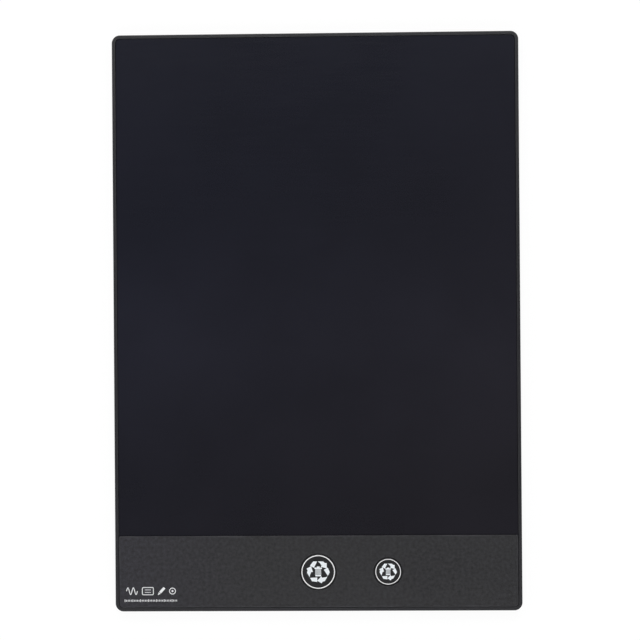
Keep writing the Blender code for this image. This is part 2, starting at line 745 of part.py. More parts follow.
def add_button_collar(panel, index, centre, cap_diameter):
    """The guide collar under the panel with its two key slots, and the hole for the cap."""
    flange = cap_diameter / 2 + FLANGE_WIDTH
    inside = flange + SLIDE_GAP
    x, y = centre
    rings = (
        (inside, PANEL_LOW + FUSE), (inside + COLLAR_WALL, PANEL_LOW + FUSE), (inside + COLLAR_WALL, COLLAR_LOW),
        (inside, COLLAR_LOW),
    )
    join(panel, turned(f"collar_{index}", centre, rings, closed=True))
    cut(panel, cylinder(f"cap_hole_{index}", centre, cap_diameter / 2 + SLIDE_GAP, COLLAR_LOW, PANEL_TOP + OVERRUN))
    half = GUIDE_RIB_WIDTH / 2 + SLIDE_GAP
    reach = flange + GUIDE_RIB_LENGTH + SLIDE_GAP
    cut(panel, block(
        f"key_slot_{index}", x - reach, x + reach, y - half, y + half, COLLAR_LOW - OVERRUN, PANEL_LOW
    ))


def build_control_panel(material):
    """The textured strip under the screen: lip, button holes with collars, pins and ribs."""
    panel = slab("control_panel", panel_outline, PANEL_LOW, PANEL_TOP, 0, PANEL_EDGE_RADIUS, material)
    for index, (centre, cap_diameter) in enumerate(button_places()):
        add_button_collar(panel, index, centre, cap_diameter)
    cut(panel, block(
        "film_rabbet", -HALF_WIDTH, HALF_WIDTH, RABBET_Y, STRIP_TOP_Y + OVERRUN, COLLAR_LOW - OVERRUN, LIP_LOW
    ))
    join(panel, posts("panel_pins", pin_places(), PIN_DIAMETER / 2, PANEL_LOW - PIN_DEPTH, PANEL_LOW + FUSE))
    leaf_y = BUTTON_Y + NEGATIVE_OFFSET
    leaf_top = CELL_TOP + LAYER_GAP + CONTACT_THICKNESS
    join(panel, block(
        "contact_rib", CELL_X - NEGATIVE_REACH, CELL_X + NEGATIVE_REACH,
        leaf_y - PANEL_RIB_WALL / 2, leaf_y + PANEL_RIB_WALL / 2, leaf_top + LAYER_GAP, PANEL_LOW + FUSE,
    ))
    low, high = PIN_LOW_Y + SOCKET_RADIUS + SOCKET_WALL, PIN_HIGH_Y - SOCKET_RADIUS - SOCKET_WALL
    for row in range(PANEL_RIBS):
        rib_y = low + (high - low) * (row + 1) / (PANEL_RIBS + 1)
        join(panel, block(
            f"panel_rib_{row}", PCB_RIGHT + PCB_SCREW_FROM_RIGHT, PANEL_X - STRIP_LEDGE - PANEL_GAP - FIT_GAP,
            rib_y - PANEL_RIB_WALL / 2, rib_y + PANEL_RIB_WALL / 2, PANEL_LOW - PANEL_RIB_DEPTH, PANEL_LOW + FUSE,
        ))


def build_button(name, centre, cap_diameter, material):
    """A round key: cap, flange that keeps it in the panel, guide ribs and the plunger on its dome."""
    cap = cap_diameter / 2
    flange = cap + FLANGE_WIDTH
    plunger = PLUNGER_DIAMETER / 2
    profile = (
        (plunger, DOME_TOP + LAYER_GAP), (plunger, FLANGE_LOW), (flange, FLANGE_LOW), (flange, FLANGE_TOP),
        (cap, FLANGE_TOP), (cap, PANEL_TOP - CAP_EDGE_RADIUS), (cap - CAP_EDGE_RADIUS, PANEL_TOP),
    )
    button = turned(name, centre, profile, material)
    half = GUIDE_RIB_WIDTH / 2
    reach = flange + GUIDE_RIB_LENGTH
    x, y = centre
    join(button, block(
        f"{name}_guides", x - reach, x + reach, y - half, y + half, FLANGE_LOW + LAYER_GAP, FLANGE_TOP - LAYER_GAP
    ))
    smooth(button)
    turn_about(button, (x, y, PANEL_TOP))


def build_dome(name, centre, diameter, material):
    """A thin metal snap dome, open below."""
    radius, crown = diameter / 2, DOME_TOP_DIAMETER / 2
    shoulder = (radius + crown) / 2
    rise = DOME_HEIGHT - DOME_WALL
    shoulder_rise = rise * DOME_SHOULDER_SHARE
    profile = (
        (crown, PART_LOW + rise), (shoulder, PART_LOW + shoulder_rise), (radius - DOME_WALL, PART_LOW),
        (radius, PART_LOW), (shoulder + DOME_WALL, PART_LOW + DOME_WALL + shoulder_rise), (crown, DOME_TOP),
    )
    dome = turned(name, centre, profile, material, SMALL_ROUND_SIDES)
    smooth(dome)


def build_circuit_board(material):
    """The board with its screw holes."""
    board = prism(
        "circuit_board", rounded(PCB_LEFT, PCB_RIGHT, PCB_LOW_Y, PCB_HIGH_Y, PCB_CORNER), PCB_LOW, PCB_TOP, material
    )
    hole = BOARD_SCREW_CORE / 2 + THREAD_HEIGHT + FIT_GAP
    cut(board, posts("board_holes", board_screw_places(), hole, PCB_LOW - OVERRUN, PCB_TOP + OVERRUN))


def build_screw(name, centre, seat_z, up, sizes, material):
    """A pan-head screw with a cross drive. up is 1 where the head is on top of its seat, else -1."""
    head, head_height, core, length = sizes
    tip = seat_z - up * length
    crown = seat_z + up * head_height
    edge = up * SCREW_HEAD_EDGE
    profile = [
        (core / 2 - SCREW_HEAD_EDGE, tip), (core / 2, tip + edge), (core / 2, seat_z), (head / 2, seat_z),
        (head / 2, crown - edge), (head / 2 - SCREW_HEAD_EDGE, crown),
    ]
    screw = turned(name, centre, profile if up == 1 else profile[::-1], material, SMALL_ROUND_SIDES)
    x, y = centre
    low, high = sorted((crown - up * DRIVE_DEPTH, crown + up * OVERRUN))
    slot = (DRIVE_LENGTH / 2, DRIVE_WIDTH / 2)
    for turn, (half_x, half_y) in enumerate((slot, slot[::-1])):
        cut(screw, block(f"{name}_drive_{turn}", x - half_x, x + half_x, y - half_y, y + half_y, low, high))
    smooth(screw)
    return screw


def build_chip(material):
    """The control chip with its gull-wing legs."""
    x, y = -CHIP_OFFSET, BUTTON_Y
    low = PART_LOW + CHIP_STANDOFF
    half_x, half_y = CHIP_LENGTH / 2, CHIP_WIDTH / 2
    chip = block("controller_chip", x - half_x, x + half_x, y - half_y, y + half_y, low, low + CHIP_HEIGHT, material)
    middle = low + CHIP_HEIGHT / 2
    foot_z = PART_LOW + CHIP_LEG_THICKNESS / 2
    for side in (-1, 1):
        for index in range(CHIP_LEGS_A_SIDE):
            leg_x = x + (index - (CHIP_LEGS_A_SIDE - 1) / 2) * CHIP_LEG_PITCH
            bend_y = y + side * (half_y + CHIP_LEG_REACH - CHIP_LEG_FOOT)
            path = bent_path(
                ((y + side * (half_y - FUSE), middle), (bend_y, middle), (bend_y, foot_z),
                 (y + side * (half_y + CHIP_LEG_REACH), foot_z)),
                CHIP_LEG_THICKNESS,
            )
            join(chip, strip_in_yz(
                f"chip_leg_{side}_{index}", path, CHIP_LEG_THICKNESS,
                leg_x - CHIP_LEG_WIDTH / 2, leg_x + CHIP_LEG_WIDTH / 2,
            ))


def build_inductor(material):
    """The drum core of the boost converter, with its waist."""
    half = INDUCTOR_WIDTH / 2
    top = PART_LOW + INDUCTOR_HEIGHT

    def outline(inset):
        return rounded(
            PART_OFFSET - half + inset, PART_OFFSET + half - inset,
            INDUCTOR_Y - half + inset, INDUCTOR_Y + half - inset, INDUCTOR_CORNER, steps=1,
        )

    levels = (
        (0, PART_LOW), (0, PART_LOW + INDUCTOR_FLANGE), (INDUCTOR_WAIST, PART_LOW + INDUCTOR_FLANGE),
        (INDUCTOR_WAIST, top - INDUCTOR_FLANGE), (0, top - INDUCTOR_FLANGE), (0, top),
    )
    loft("boost_inductor", [at_height(outline(inset), z) for inset, z in levels], material)


def build_capacitor(material):
    """The ceramic capacitor that stores the erase pulse, with its two end caps."""
    half, side = CAPACITOR_LENGTH / 2, CAPACITOR_WIDTH / 2
    low, top = PART_LOW, PART_LOW + CAPACITOR_HEIGHT
    proud = CAPACITOR_END_PROUD
    levels = (
        (-half, 0), (-half + CAPACITOR_END, 0), (-half + CAPACITOR_END, proud), (half - CAPACITOR_END, proud),
        (half - CAPACITOR_END, 0), (half, 0),
    )
    rings = [
        [(PART_OFFSET + x, CAPACITOR_Y + y, z) for y, z in (
            (inset - side, low + inset), (side - inset, low + inset),
            (side - inset, top - inset), (inset - side, top - inset),
        )]
        for x, inset in levels
    ]
    loft("storage_capacitor", rings, material)


def build_lock_switch(body_material, lever_material):
    """The slide switch on the board's lower edge, and its lever."""
    half = SWITCH_LENGTH / 2
    body = block(
        "lock_switch_body", LOCK_OFFSET - half, LOCK_OFFSET + half, SWITCH_LOW_Y, SWITCH_HIGH_Y,
        PART_LOW, PART_LOW + SWITCH_HEIGHT, body_material,
    )
    half_slot = (LEVER_WIDTH + LOCK_TRAVEL) / 2 + SLIDE_GAP
    cut(body, block(
        "lever_slot", LOCK_OFFSET - half_slot, LOCK_OFFSET + half_slot, SWITCH_LOW_Y - OVERRUN,
        SWITCH_LOW_Y + LEVER_HOLD + SLIDE_GAP, LEVER_LOW - LAYER_GAP, LEVER_HIGH + LAYER_GAP,
    ))
    lever = block(
        "lock_switch_lever", SLIDER_X - LEVER_WIDTH / 2, SLIDER_X + LEVER_WIDTH / 2,
        LOCK_Y - STEM_WIDTH / 2, SWITCH_LOW_Y + LEVER_HOLD, LEVER_LOW, LEVER_HIGH, lever_material,
    )
    turn_about(lever, (SLIDER_X, LOCK_Y, SLIDER_TOP))


def build_lock_slider(material):
    """The thumb slider on the back, its stem, its crosshead inside and the fork round the lever."""
    half, side = SLIDER_LENGTH / 2, SLIDER_WIDTH / 2

    def outline(inset):
        return rounded(
            SLIDER_X - half + inset, SLIDER_X + half - inset, LOCK_Y - side + inset, LOCK_Y + side - inset,
            SLIDER_CORNER - inset,
        )

    slider = slab(
        "lock_slider", outline, SLIDER_RECESS, SLIDER_TOP, SLIDER_GROOVE_DEPTH / 2, 0, material
    )
    for index in range(SLIDER_GROOVES):
        x = SLIDER_X + (index - (SLIDER_GROOVES - 1) / 2) * SLIDER_GROOVE_PITCH
        cut(slider, block(
            f"grip_groove_{index}", x - SLIDER_GROOVE_WIDTH / 2, x + SLIDER_GROOVE_WIDTH / 2,
            LOCK_Y - side - OVERRUN, LOCK_Y + side + OVERRUN, -OVERRUN, SLIDER_RECESS + SLIDER_GROOVE_DEPTH,
        ))
    head_low = SLIDER_DECK_TOP + LAYER_GAP
    head_top = head_low + CROSSHEAD_THICKNESS
    half_stem, stem_side = STEM_LENGTH / 2, STEM_WIDTH / 2
    half_head, head_side = CROSSHEAD_LENGTH / 2, CROSSHEAD_WIDTH / 2
    join(
        slider,
        block("slider_stem", SLIDER_X - half_stem, SLIDER_X + half_stem, LOCK_Y - stem_side, LOCK_Y + stem_side,
              SLIDER_TOP - SLIDER_GROOVE_DEPTH, head_top - LAYER_GAP),
        block("slider_crosshead", SLIDER_X - half_head, SLIDER_X + half_head, LOCK_Y - head_side, LOCK_Y + head_side,
              head_low, head_top),
    )
    for turn in (-1, 1):
        near = SLIDER_X + turn * (LEVER_WIDTH / 2 + LAYER_GAP)
        x0, x1 = sorted((near, near + turn * PRONG_WIDTH))
        join(slider, block(
            f"slider_prong_{turn}", x0, x1, LOCK_Y - PRONG_DEPTH / 2, LOCK_Y + PRONG_DEPTH / 2,
            head_low + LAYER_GAP, LEVER_HIGH,
        ))
    turn_about(slider, (SLIDER_X, LOCK_Y, SLIDER_TOP))


def build_cell(can_material, gasket_material, electrode_material):
    """The coin cell: can, gasket, electrode stack and cap."""
    centre = (CELL_X, BUTTON_Y)
    can_top = CELL_TOP - CELL_CAN_DROP
    bore = CELL_RADIUS - CELL_SHEET
    inner_floor = CELL_LOW + CELL_SHEET
    can = turned("coin_cell_can", centre, (
        (CELL_RADIUS - CELL_CORNER, CELL_LOW), (CELL_RADIUS, CELL_LOW + CELL_CORNER),
        (CELL_RADIUS, can_top - CELL_CRIMP), (CELL_RADIUS - CELL_CRIMP, can_top), (bore - CELL_CRIMP, can_top),
        (bore, can_top - CELL_CRIMP - CELL_CRIMP), (bore, inner_floor),
    ), can_material, CELL_SIDES)
    seal_outer = bore - CELL_CRIMP - LAYER_GAP
    seal_inner = seal_outer - CELL_GASKET
    seal_low = inner_floor + LAYER_GAP
    gasket = turned("coin_cell_gasket", centre, (
        (seal_inner, seal_low), (seal_outer, seal_low), (seal_outer, can_top), (seal_inner, can_top),
    ), gasket_material, CELL_SIDES, closed=True)
    cap_radius = seal_inner - LAYER_GAP
    cap_inner = cap_radius - CELL_SHEET
    cap_low = seal_low + CELL_SHEET
    cap = turned("coin_cell_cap", centre, (
        (cap_inner, CELL_TOP - CELL_SHEET), (cap_inner, cap_low), (cap_radius, cap_low),
        (cap_radius, CELL_TOP - CELL_CORNER), (cap_radius - CELL_CORNER, CELL_TOP),
    ), can_material, CELL_SIDES)
    stack_top = CELL_TOP - CELL_SHEET - LAYER_GAP
    stack = turned("coin_cell_electrodes", centre, (
        (cap_inner - LAYER_GAP, seal_low), (cap_inner - LAYER_GAP, stack_top),
    ), electrode_material, CELL_SIDES)
    for piece in (can, gasket, cap, stack):
        smooth(piece)


def build_negative_contact(material):
    """The leaf over the cell, which steps down to the circuit board, with its contact dimple."""
    y = BUTTON_Y + NEGATIVE_OFFSET
    leaf_z = CELL_TOP + LAYER_GAP + CONTACT_THICKNESS / 2
    pad_z = PART_LOW + CONTACT_THICKNESS / 2
    step_x = PCB_LEFT - CONTACT_BEND - CONTACT_BEND
    path = bent_path(
        ((CELL_X - NEGATIVE_REACH, leaf_z), (step_x, leaf_z), (step_x, pad_z), (PCB_LEFT + CONTACT_FOOT, pad_z)),
        (leaf_z - pad_z) * LEAF_BEND_SHARE,
    )
    leaf = strip_in_xz("negative_contact", path, CONTACT_THICKNESS, y - NEGATIVE_WIDTH / 2, y + NEGATIVE_WIDTH / 2,
                       material)
    low = CELL_TOP + LAYER_GAP / 2
    join(leaf, turned("contact_dimple", (CELL_X, y), (
        (NEGATIVE_DIMPLE / 4, low), (NEGATIVE_DIMPLE / 2, leaf_z),
    ), None, SMALL_ROUND_SIDES))


def build_positive_contact(material):
    """The blade that bears on the side of the can, with its foot on the circuit board."""
    touch_y = BUTTON_Y - CELL_RADIUS - LAYER_GAP - CONTACT_THICKNESS / 2
    blade_y = PCB_LOW_Y + POSITIVE_FROM_EDGE
    jog_x = CELL_X + POSITIVE_RUN
    end_x = PCB_LEFT - CONTACT_BEND
    path = bent_path(
        ((CELL_X - POSITIVE_LEAD, touch_y), (jog_x, touch_y), (jog_x + POSITIVE_JOG, blade_y), (end_x, blade_y)),
        CONTACT_BEND,
    )
    low = DECK_TOP + LAYER_GAP + LAYER_GAP
    blade = prism("positive_contact", ribbon(path, CONTACT_THICKNESS), low, low + POSITIVE_HEIGHT, material)
    half = POSITIVE_FOOT_WIDTH / 2
    join(blade, block(
        "positive_foot", end_x - CONTACT_BEND, PCB_LEFT + CONTACT_FOOT, blade_y - half, blade_y + half,
        PART_LOW, PART_LOW + CONTACT_THICKNESS,
    ))


def build_battery_door(door_material, pad_material, screw_material):
    """The door with its hook tabs, its screw and the foam pad that presses on the cell."""
    hinge = bpy.data.objects.new("battery_door_hinge", None)
    pivot = (DOOR_LEFT, BUTTON_Y, DOOR_RECESS)
    hinge.location = pivot
    bpy.context.scene.collection.objects.link(hinge)
    door = slab("battery_door", door_outline, DOOR_RECESS, DOOR_TOP, DOOR_EDGE_RADIUS, 0, door_material)
    for side in (-1, 1):
        centre = BUTTON_Y + side * DOOR_TAB_OFFSET
        low_y, high_y = centre - DOOR_TAB_WIDTH / 2, centre + DOOR_TAB_WIDTH / 2
        top = DECK_LOW + DOOR_TAB_HEIGHT
        join(
            door,
            block(f"tab_root_{side}", DOOR_LEFT + LAYER_GAP, DOOR_LEFT + DOOR_TAB_ROOT, low_y, high_y,
                  DOOR_TOP - FUSE, top),
            block(f"tab_lip_{side}", DOOR_LEFT - DOOR_TAB_LIP, DOOR_LEFT + DOOR_TAB_ROOT / 2,
                  low_y + LAYER_GAP, high_y - LAYER_GAP, DOOR_TOP, top - LAYER_GAP),
        )
    screw_place = (DOOR_SCREW_X, BUTTON_Y)
    seat = DOOR_RECESS + LAYER_GAP + DOOR_SCREW_HEAD_HEIGHT
    clear = DOOR_SCREW_CORE / 2 + THREAD_HEIGHT
    cut(
        door,
        cylinder("door_counterbore", screw_place, DOOR_SCREW_HEAD / 2 + FIT_GAP, -OVERRUN, seat + LAYER_GAP, None,
                 SMALL_ROUND_SIDES),
        cylinder("door_clearance", screw_place, clear, -OVERRUN, DOOR_TOP + OVERRUN, None, SMALL_ROUND_SIDES),
    )
    sizes = (DOOR_SCREW_HEAD, DOOR_SCREW_HEAD_HEIGHT, DOOR_SCREW_CORE, DOOR_SCREW_LENGTH)
    screw = build_screw("battery_door_screw", screw_place, seat, -1, sizes, screw_material)
    pad = cylinder("battery_foam_pad", (CELL_X, BUTTON_Y), PAD_DIAMETER / 2, PAD_LOW, PAD_LOW + PAD_THICKNESS,
                   pad_material, SMALL_ROUND_SIDES)
    smooth(pad)
    for piece in (door, screw, pad):
        turn_about(piece, pivot, hinge)


def build_tablet():
    """Builds every piece of the tablet."""
    build_rear_case(finish("case_plastic", (50, 50, 54), 0.45))
    build_screen(
        finish("writing_film", (34, 34, 40), 0.22),
        finish("electrode_film", (60, 66, 66), 0.25),
        finish("black_film", (12, 12, 14), 0.6),
        finish("bond_tape", (225, 222, 210), 0.7),
        finish("board_plastic", (190, 190, 188), 0.6),
    )
    copper = finish("lead_copper", (190, 120, 75), 0.35, 1.0)
    build_lead("front_electrode_lead", FRONT_LEAD_X, FRONT_LOW - LAYER_GAP / 2 - LEAD_THICKNESS / 2, copper)
    build_lead("rear_electrode_lead", REAR_LEAD_OFFSET, REAR_TOP + LAYER_GAP / 2 + LEAD_THICKNESS / 2, copper)
    build_control_panel(finish("panel_plastic", (57, 56, 61), 0.6))
    key = finish("key_plastic", (54, 53, 58), 0.55)
    names = ("erase_button", "partial_erase_button")
    for name, (centre, cap_diameter) in zip(names, button_places()):
        build_button(name, centre, cap_diameter, key)
    steel = finish("spring_steel", (170, 170, 168), 0.3, 1.0)
    build_dome("erase_dome", (0, BUTTON_Y), ERASE_DOME_DIAMETER, steel)
    build_dome("partial_erase_dome", (BUTTON_SPACING, BUTTON_Y), PARTIAL_DOME_DIAMETER, steel)
    build_circuit_board(finish("board_laminate", (24, 74, 42), 0.45))
    screw_steel = finish("screw_steel", (120, 120, 122), 0.35, 1.0)
    sizes = (BOARD_SCREW_HEAD, BOARD_SCREW_HEAD_HEIGHT, BOARD_SCREW_CORE, BOARD_SCREW_LENGTH + LAYER_GAP)
    for index, place in enumerate(board_screw_places(), start=1):
        build_screw(f"board_screw_{index}", place, PART_LOW, 1, sizes, screw_steel)
    build_chip(finish("chip_epoxy", (30, 30, 32), 0.5))
    build_inductor(finish("ferrite", (52, 50, 50), 0.6))
    build_capacitor(finish("ceramic", (150, 120, 90), 0.5))
    build_lock_switch(finish("switch_shell", (175, 175, 172), 0.35, 1.0), finish("switch_lever", (20, 20, 20), 0.5))
    build_lock_slider(finish("slider_plastic", (70, 70, 74), 0.5))
    build_cell(
        finish("cell_steel", (185, 186, 184), 0.25, 1.0),
        finish("cell_gasket", (228, 228, 220), 0.5),
        finish("cell_electrode", (40, 40, 40), 0.8),
    )
    spring = finish("contact_nickel", (190, 186, 170), 0.3, 1.0)
    build_negative_contact(spring)
    build_positive_contact(spring)
    build_battery_door(
        finish("door_plastic", (50, 50, 54), 0.45), finish("pad_foam", (35, 35, 36), 0.9), screw_steel
    )


clear_scene()
build_tablet()
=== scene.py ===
"""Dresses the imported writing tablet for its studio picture.

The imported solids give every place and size. A solid that can be seen is stood
in for by a copy whose edges are rounded as its mould or cutter leaves them,
the prints are laid on as thin ink, and each part gets its own finish.
"""
import functools
import json
import logging
import math
from dataclasses import dataclass, field
from enum import Enum
from typing import ClassVar, Optional, Sequence, Union

import bmesh
import bpy
from mathutils import Matrix, Vector

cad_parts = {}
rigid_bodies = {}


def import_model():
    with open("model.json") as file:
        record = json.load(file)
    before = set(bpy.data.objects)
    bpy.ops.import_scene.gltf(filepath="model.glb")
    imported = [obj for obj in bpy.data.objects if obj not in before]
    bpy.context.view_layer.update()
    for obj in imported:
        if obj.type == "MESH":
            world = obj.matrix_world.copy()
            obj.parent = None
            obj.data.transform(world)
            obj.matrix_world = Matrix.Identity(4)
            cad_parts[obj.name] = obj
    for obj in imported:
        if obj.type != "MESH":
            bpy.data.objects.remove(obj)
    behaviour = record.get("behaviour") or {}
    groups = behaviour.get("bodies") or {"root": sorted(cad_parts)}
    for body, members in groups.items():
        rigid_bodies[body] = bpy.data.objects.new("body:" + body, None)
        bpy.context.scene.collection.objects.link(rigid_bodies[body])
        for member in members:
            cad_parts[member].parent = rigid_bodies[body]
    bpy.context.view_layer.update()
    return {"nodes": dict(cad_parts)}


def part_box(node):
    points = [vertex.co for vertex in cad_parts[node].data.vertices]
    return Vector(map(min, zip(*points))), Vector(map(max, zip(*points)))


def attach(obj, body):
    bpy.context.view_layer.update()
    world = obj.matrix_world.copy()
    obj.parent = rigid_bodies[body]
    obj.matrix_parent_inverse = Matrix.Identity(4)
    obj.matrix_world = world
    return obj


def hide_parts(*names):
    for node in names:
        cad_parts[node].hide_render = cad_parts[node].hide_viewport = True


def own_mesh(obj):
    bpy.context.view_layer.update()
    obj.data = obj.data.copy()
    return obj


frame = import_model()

Colour = tuple[float, float, float, float]
Pair = tuple[float, float]
Socket = bpy.types.NodeSocket
Feed = Union[Socket, bpy.types.Material, float, tuple, None]
Feeds = dict[Union[str, int], Feed]

LOG = logging.getLogger("writing_tablet")
BODY_MARK = "body:"
MM = 0.001
SAME_PLACE = 0.001 * MM
SHARP_ANGLE = 40.0
WHITE: Colour = (1.0, 1.0, 1.0, 1.0)
MOST: Pair = (0.3, 0.7)
UPPER: Pair = (0.35, 0.7)


def tone(*levels: int) -> Colour:
    """Turns a screen's red, green and blue, 0 to 255, into linear light by the standard curve."""
    parts = (level / 255 for level in levels)
    return (*(part / 12.92 if part <= 0.04045 else ((part + 0.055) / 1.055) ** 2.4 for part in parts), 1.0)


def faded(colour: Colour, share: float) -> Colour:
    """Makes a colour a number of times as light."""
    return colour[0] * share, colour[1] * share, colour[2] * share, 1.0


class Graph:
    """Adds nodes to a tree."""

    def __init__(self, tree: bpy.types.NodeTree) -> None:
        """Keeps the tree that the nodes go into."""
        self.tree = tree

    def fill(self, node: bpy.types.Node, feeds: Feeds) -> None:
        """Fills a node's inputs, by name or number.

        Args:
            node: The node.
            feeds: For each input an output to link, a value to set, or None to leave it as it is.
        """
        for name, value in feeds.items():
            if isinstance(value, Socket):
                self.tree.links.new(value, node.inputs[name])
            elif value is not None:
                node.inputs[name].default_value = value

    def add(self, kind: str, feeds: Optional[Feeds] = None, **settings: object) -> bpy.types.Node:
        """Adds one node.

        Args:
            kind: The node's type.
            feeds: What goes into its inputs.
            settings: The node's own options.

        Returns:
            The new node.
        """
        node = self.tree.nodes.new(kind)
        for option, value in settings.items():
            setattr(node, option, value)
        self.fill(node, feeds or {})
        return node

    def out(self, kind: str, feeds: Optional[Feeds] = None, **settings: object) -> Socket:
        """Adds one node and gives its first output."""
        return self.add(kind, feeds, **settings).outputs[0]

    def math(self, operation: str, first: Feed, *others: Feed) -> Socket:
        """Joins numbers by an operation, one after another, or changes a single one by it.

        Args:
            operation: The operation's name.
            first: The first number.
            others: What it is joined with.

        Returns:
            The result.
        """
        for other in others or (None,):
            first = self.out("ShaderNodeMath", {0: first, 1: other}, operation=operation)
        return first

    def times(self, *factors: Feed) -> Socket:
        """Multiplies numbers."""
        return self.math("MULTIPLY", *factors)

    def vector(self, operation: str, first: Feed, second: Feed = None) -> Socket:
        """Joins two vectors by an operation, or changes or measures one by it."""
        node = self.add("ShaderNodeVectorMath", {0: first, 1: second}, operation=operation)
        return node.outputs["Value" if operation == "LENGTH" else "Vector"]

    def parts(self, vector: Socket) -> bpy.types.NodeOutputs:
        """Splits a vector into X, Y and Z."""
        return self.add("ShaderNodeSeparateXYZ", {0: vector}).outputs

    def span(self, value: Socket, source: Pair, target: tuple[Feed, Feed]) -> Socket:
        """Stretches a value's span to another, and stops it at the ends."""
        return self.out("ShaderNodeMapRange", dict(enumerate((value, *source, *target))))


@dataclass(frozen=True)
class Finish(Graph):
    """What a piece is made of: one material, whose nodes read the piece's own coordinates in metres."""

    name: str
    colour: Colour
    detail_share: ClassVar[float] = 0.55

    @functools.cached_property
    def blank(self) -> bpy.types.Material:
        """The material before it is dressed.

        Returns:
            The material, with a plain shader.
        """
        blank = bpy.data.materials.new(self.name)
        blank.use_nodes = True
        return blank

    @functools.cached_property
    def material(self) -> bpy.types.Material:
        """The finished material, made the first time it is asked for."""
        self.dress()
        return self.blank

    @property
    def tree(self) -> bpy.types.NodeTree:
        """The material's nodes."""
        return self.blank.node_tree

    @functools.cached_property
    def place(self) -> Socket:
        """The piece's own coordinates."""
        return self.add("ShaderNodeTexCoord").outputs["Object"]

    def dress(self) -> None:
        """Fills in the material's nodes."""
        raise NotImplementedError

    def set(self, base: Feed, dull: Feed, normal: Socket, metal: float = 0.0) -> None:
        """Gives the shader its colour, roughness, normal and share of metal."""
        feeds = {"Base Color": base, "Roughness": dull, "Normal": normal, "Metallic": metal}
        self.fill(self.tree.nodes["Principled BSDF"], feeds)

    def moved(self, centre: Pair = (0, 0), turn: float = 0, stretch: Sequence[float] = (1, 1, 1)) -> Socket:
        """Makes a place the middle of the coordinates, turns them by radians and stretches them."""
        centred = self.vector("ADD", self.place, (-centre[0], -centre[1], 0.0))
        return self.out("ShaderNodeMapping", {"Vector": centred, "Rotation": (0, 0, turn), "Scale": stretch})

    def noise(self, size: float, octaves: float = 2.0, vector: Optional[Socket] = None) -> Socket:
        """A cloudy value about one half, from the width of its clouds and how much finer detail is added."""
        feeds = {"Vector": vector or self.place, "Scale": 1 / size, "Detail": octaves}
        return self.out("ShaderNodeTexNoise", {**feeds, "Roughness": self.detail_share})

    def cells(self, size: float, feature: str = "F1") -> Socket:
        """The distance to the nearest of scattered points, or another feature of the cells about them."""
        return self.out("ShaderNodeTexVoronoi", {"Vector": self.place, "Scale": 1 / size}, feature=feature)

    def swing(self, value: Socket, share: float, source: Pair = MOST) -> Socket:
        """Stretches a value's span to one, from a share less to a share more."""
        return self.span(value, source, (1 - share, 1 + share))

    def mixed(self, share: Feed, first: Feed, second: Feed, blend: str = "MIX") -> Socket:
        """Mixes a share of the second colour into the first."""
        feeds = {0: share, 6: first, 7: second}
        return self.add("ShaderNodeMix", feeds, data_type="RGBA", blend_type=blend).outputs[2]

    def shaded(self, colour: Feed, shade: Socket) -> Socket:
        """Makes a colour lighter or darker by a value."""
        return self.mixed(1.0, colour, shade, "MULTIPLY")

    def bumped(self, height: Socket, depth: float, below: Optional[Socket] = None) -> Socket:
        """Turns a height from 0 to 1 into a bumpy normal, as deep as given in metres, on one below it."""
        feeds = {"Height": height, "Distance": depth, "Strength": 1.0, "Normal": below}
        return self.out("ShaderNodeBump", feeds)


@dataclass(frozen=True)
class MouldedPlastic(Finish):
    """Plastic with the fine spark-worn grain of its mould, worn a little shinier in patches."""

    # painted light: a lighter colour for one end, and the span in X over which it fades out
    lit_end_colour: Optional[Colour] = None
    lit_end_span: Pair = (0.0, 1.0)
    mottle: float = 0.10
    mottle_size: float = 0.80 * MM
    mottle_span: Pair = (0.28, 0.72)
    grain_size: float = 0.20 * MM
    grain_depth: float = 0.012 * MM
    gloss: Pair = (0.46, 0.60)
    patch_size: float = 42 * MM
    patch_share: float = 0.03
    highlight_gain: float = 1.3
    shinier: float = 0.12

    def dress(self) -> None:
        """Lays the plastic's colour, roughness and grain."""
        self.set(*self.layers())

    def layers(self) -> tuple[Socket, Socket, Socket]:
        """Makes mottle, broad shinier patches and grain, and a painted highlight along the edge where a
        subclass marks one.

        Returns:
            The colour, the roughness and the bumpy normal.
        """
        mottle = self.swing(self.noise(self.mottle_size, 3.0), self.mottle, self.mottle_span)
        patch = self.noise(self.patch_size, 3.0)
        base: Feed = self.colour
        # painted light: one end in X is painted towards a lighter colour, as light falls more on it
        if self.lit_end_colour is not None:
            across = self.parts(self.place)["X"]
            base = self.mixed(self.span(across, self.lit_end_span, (1.0, 0.0)), self.colour, self.lit_end_colour)
        base = self.shaded(base, self.times(mottle, self.swing(patch, self.patch_share)))
        dull = self.span(patch, UPPER, (self.gloss[1], self.gloss[0]))
        # painted highlight: along a marked edge band the colour is painted paler, and the roughness is
        # lowered
        edge_highlight_and_rub = self.edge_highlight_and_rub()
        if edge_highlight_and_rub is not None:
            base = self.mixed(edge_highlight_and_rub, base, faded(self.colour, self.highlight_gain))
            dull = self.math("SUBTRACT", dull, self.times(edge_highlight_and_rub, self.shinier))
        return base, dull, self.bumped(self.noise(self.grain_size), self.grain_depth)

    def edge_highlight_and_rub(self) -> Optional[Socket]:
        """Where the edge is painted paler as a highlight and made shinier, from 0 to 1, or None where it has
        neither.
        """
        return None


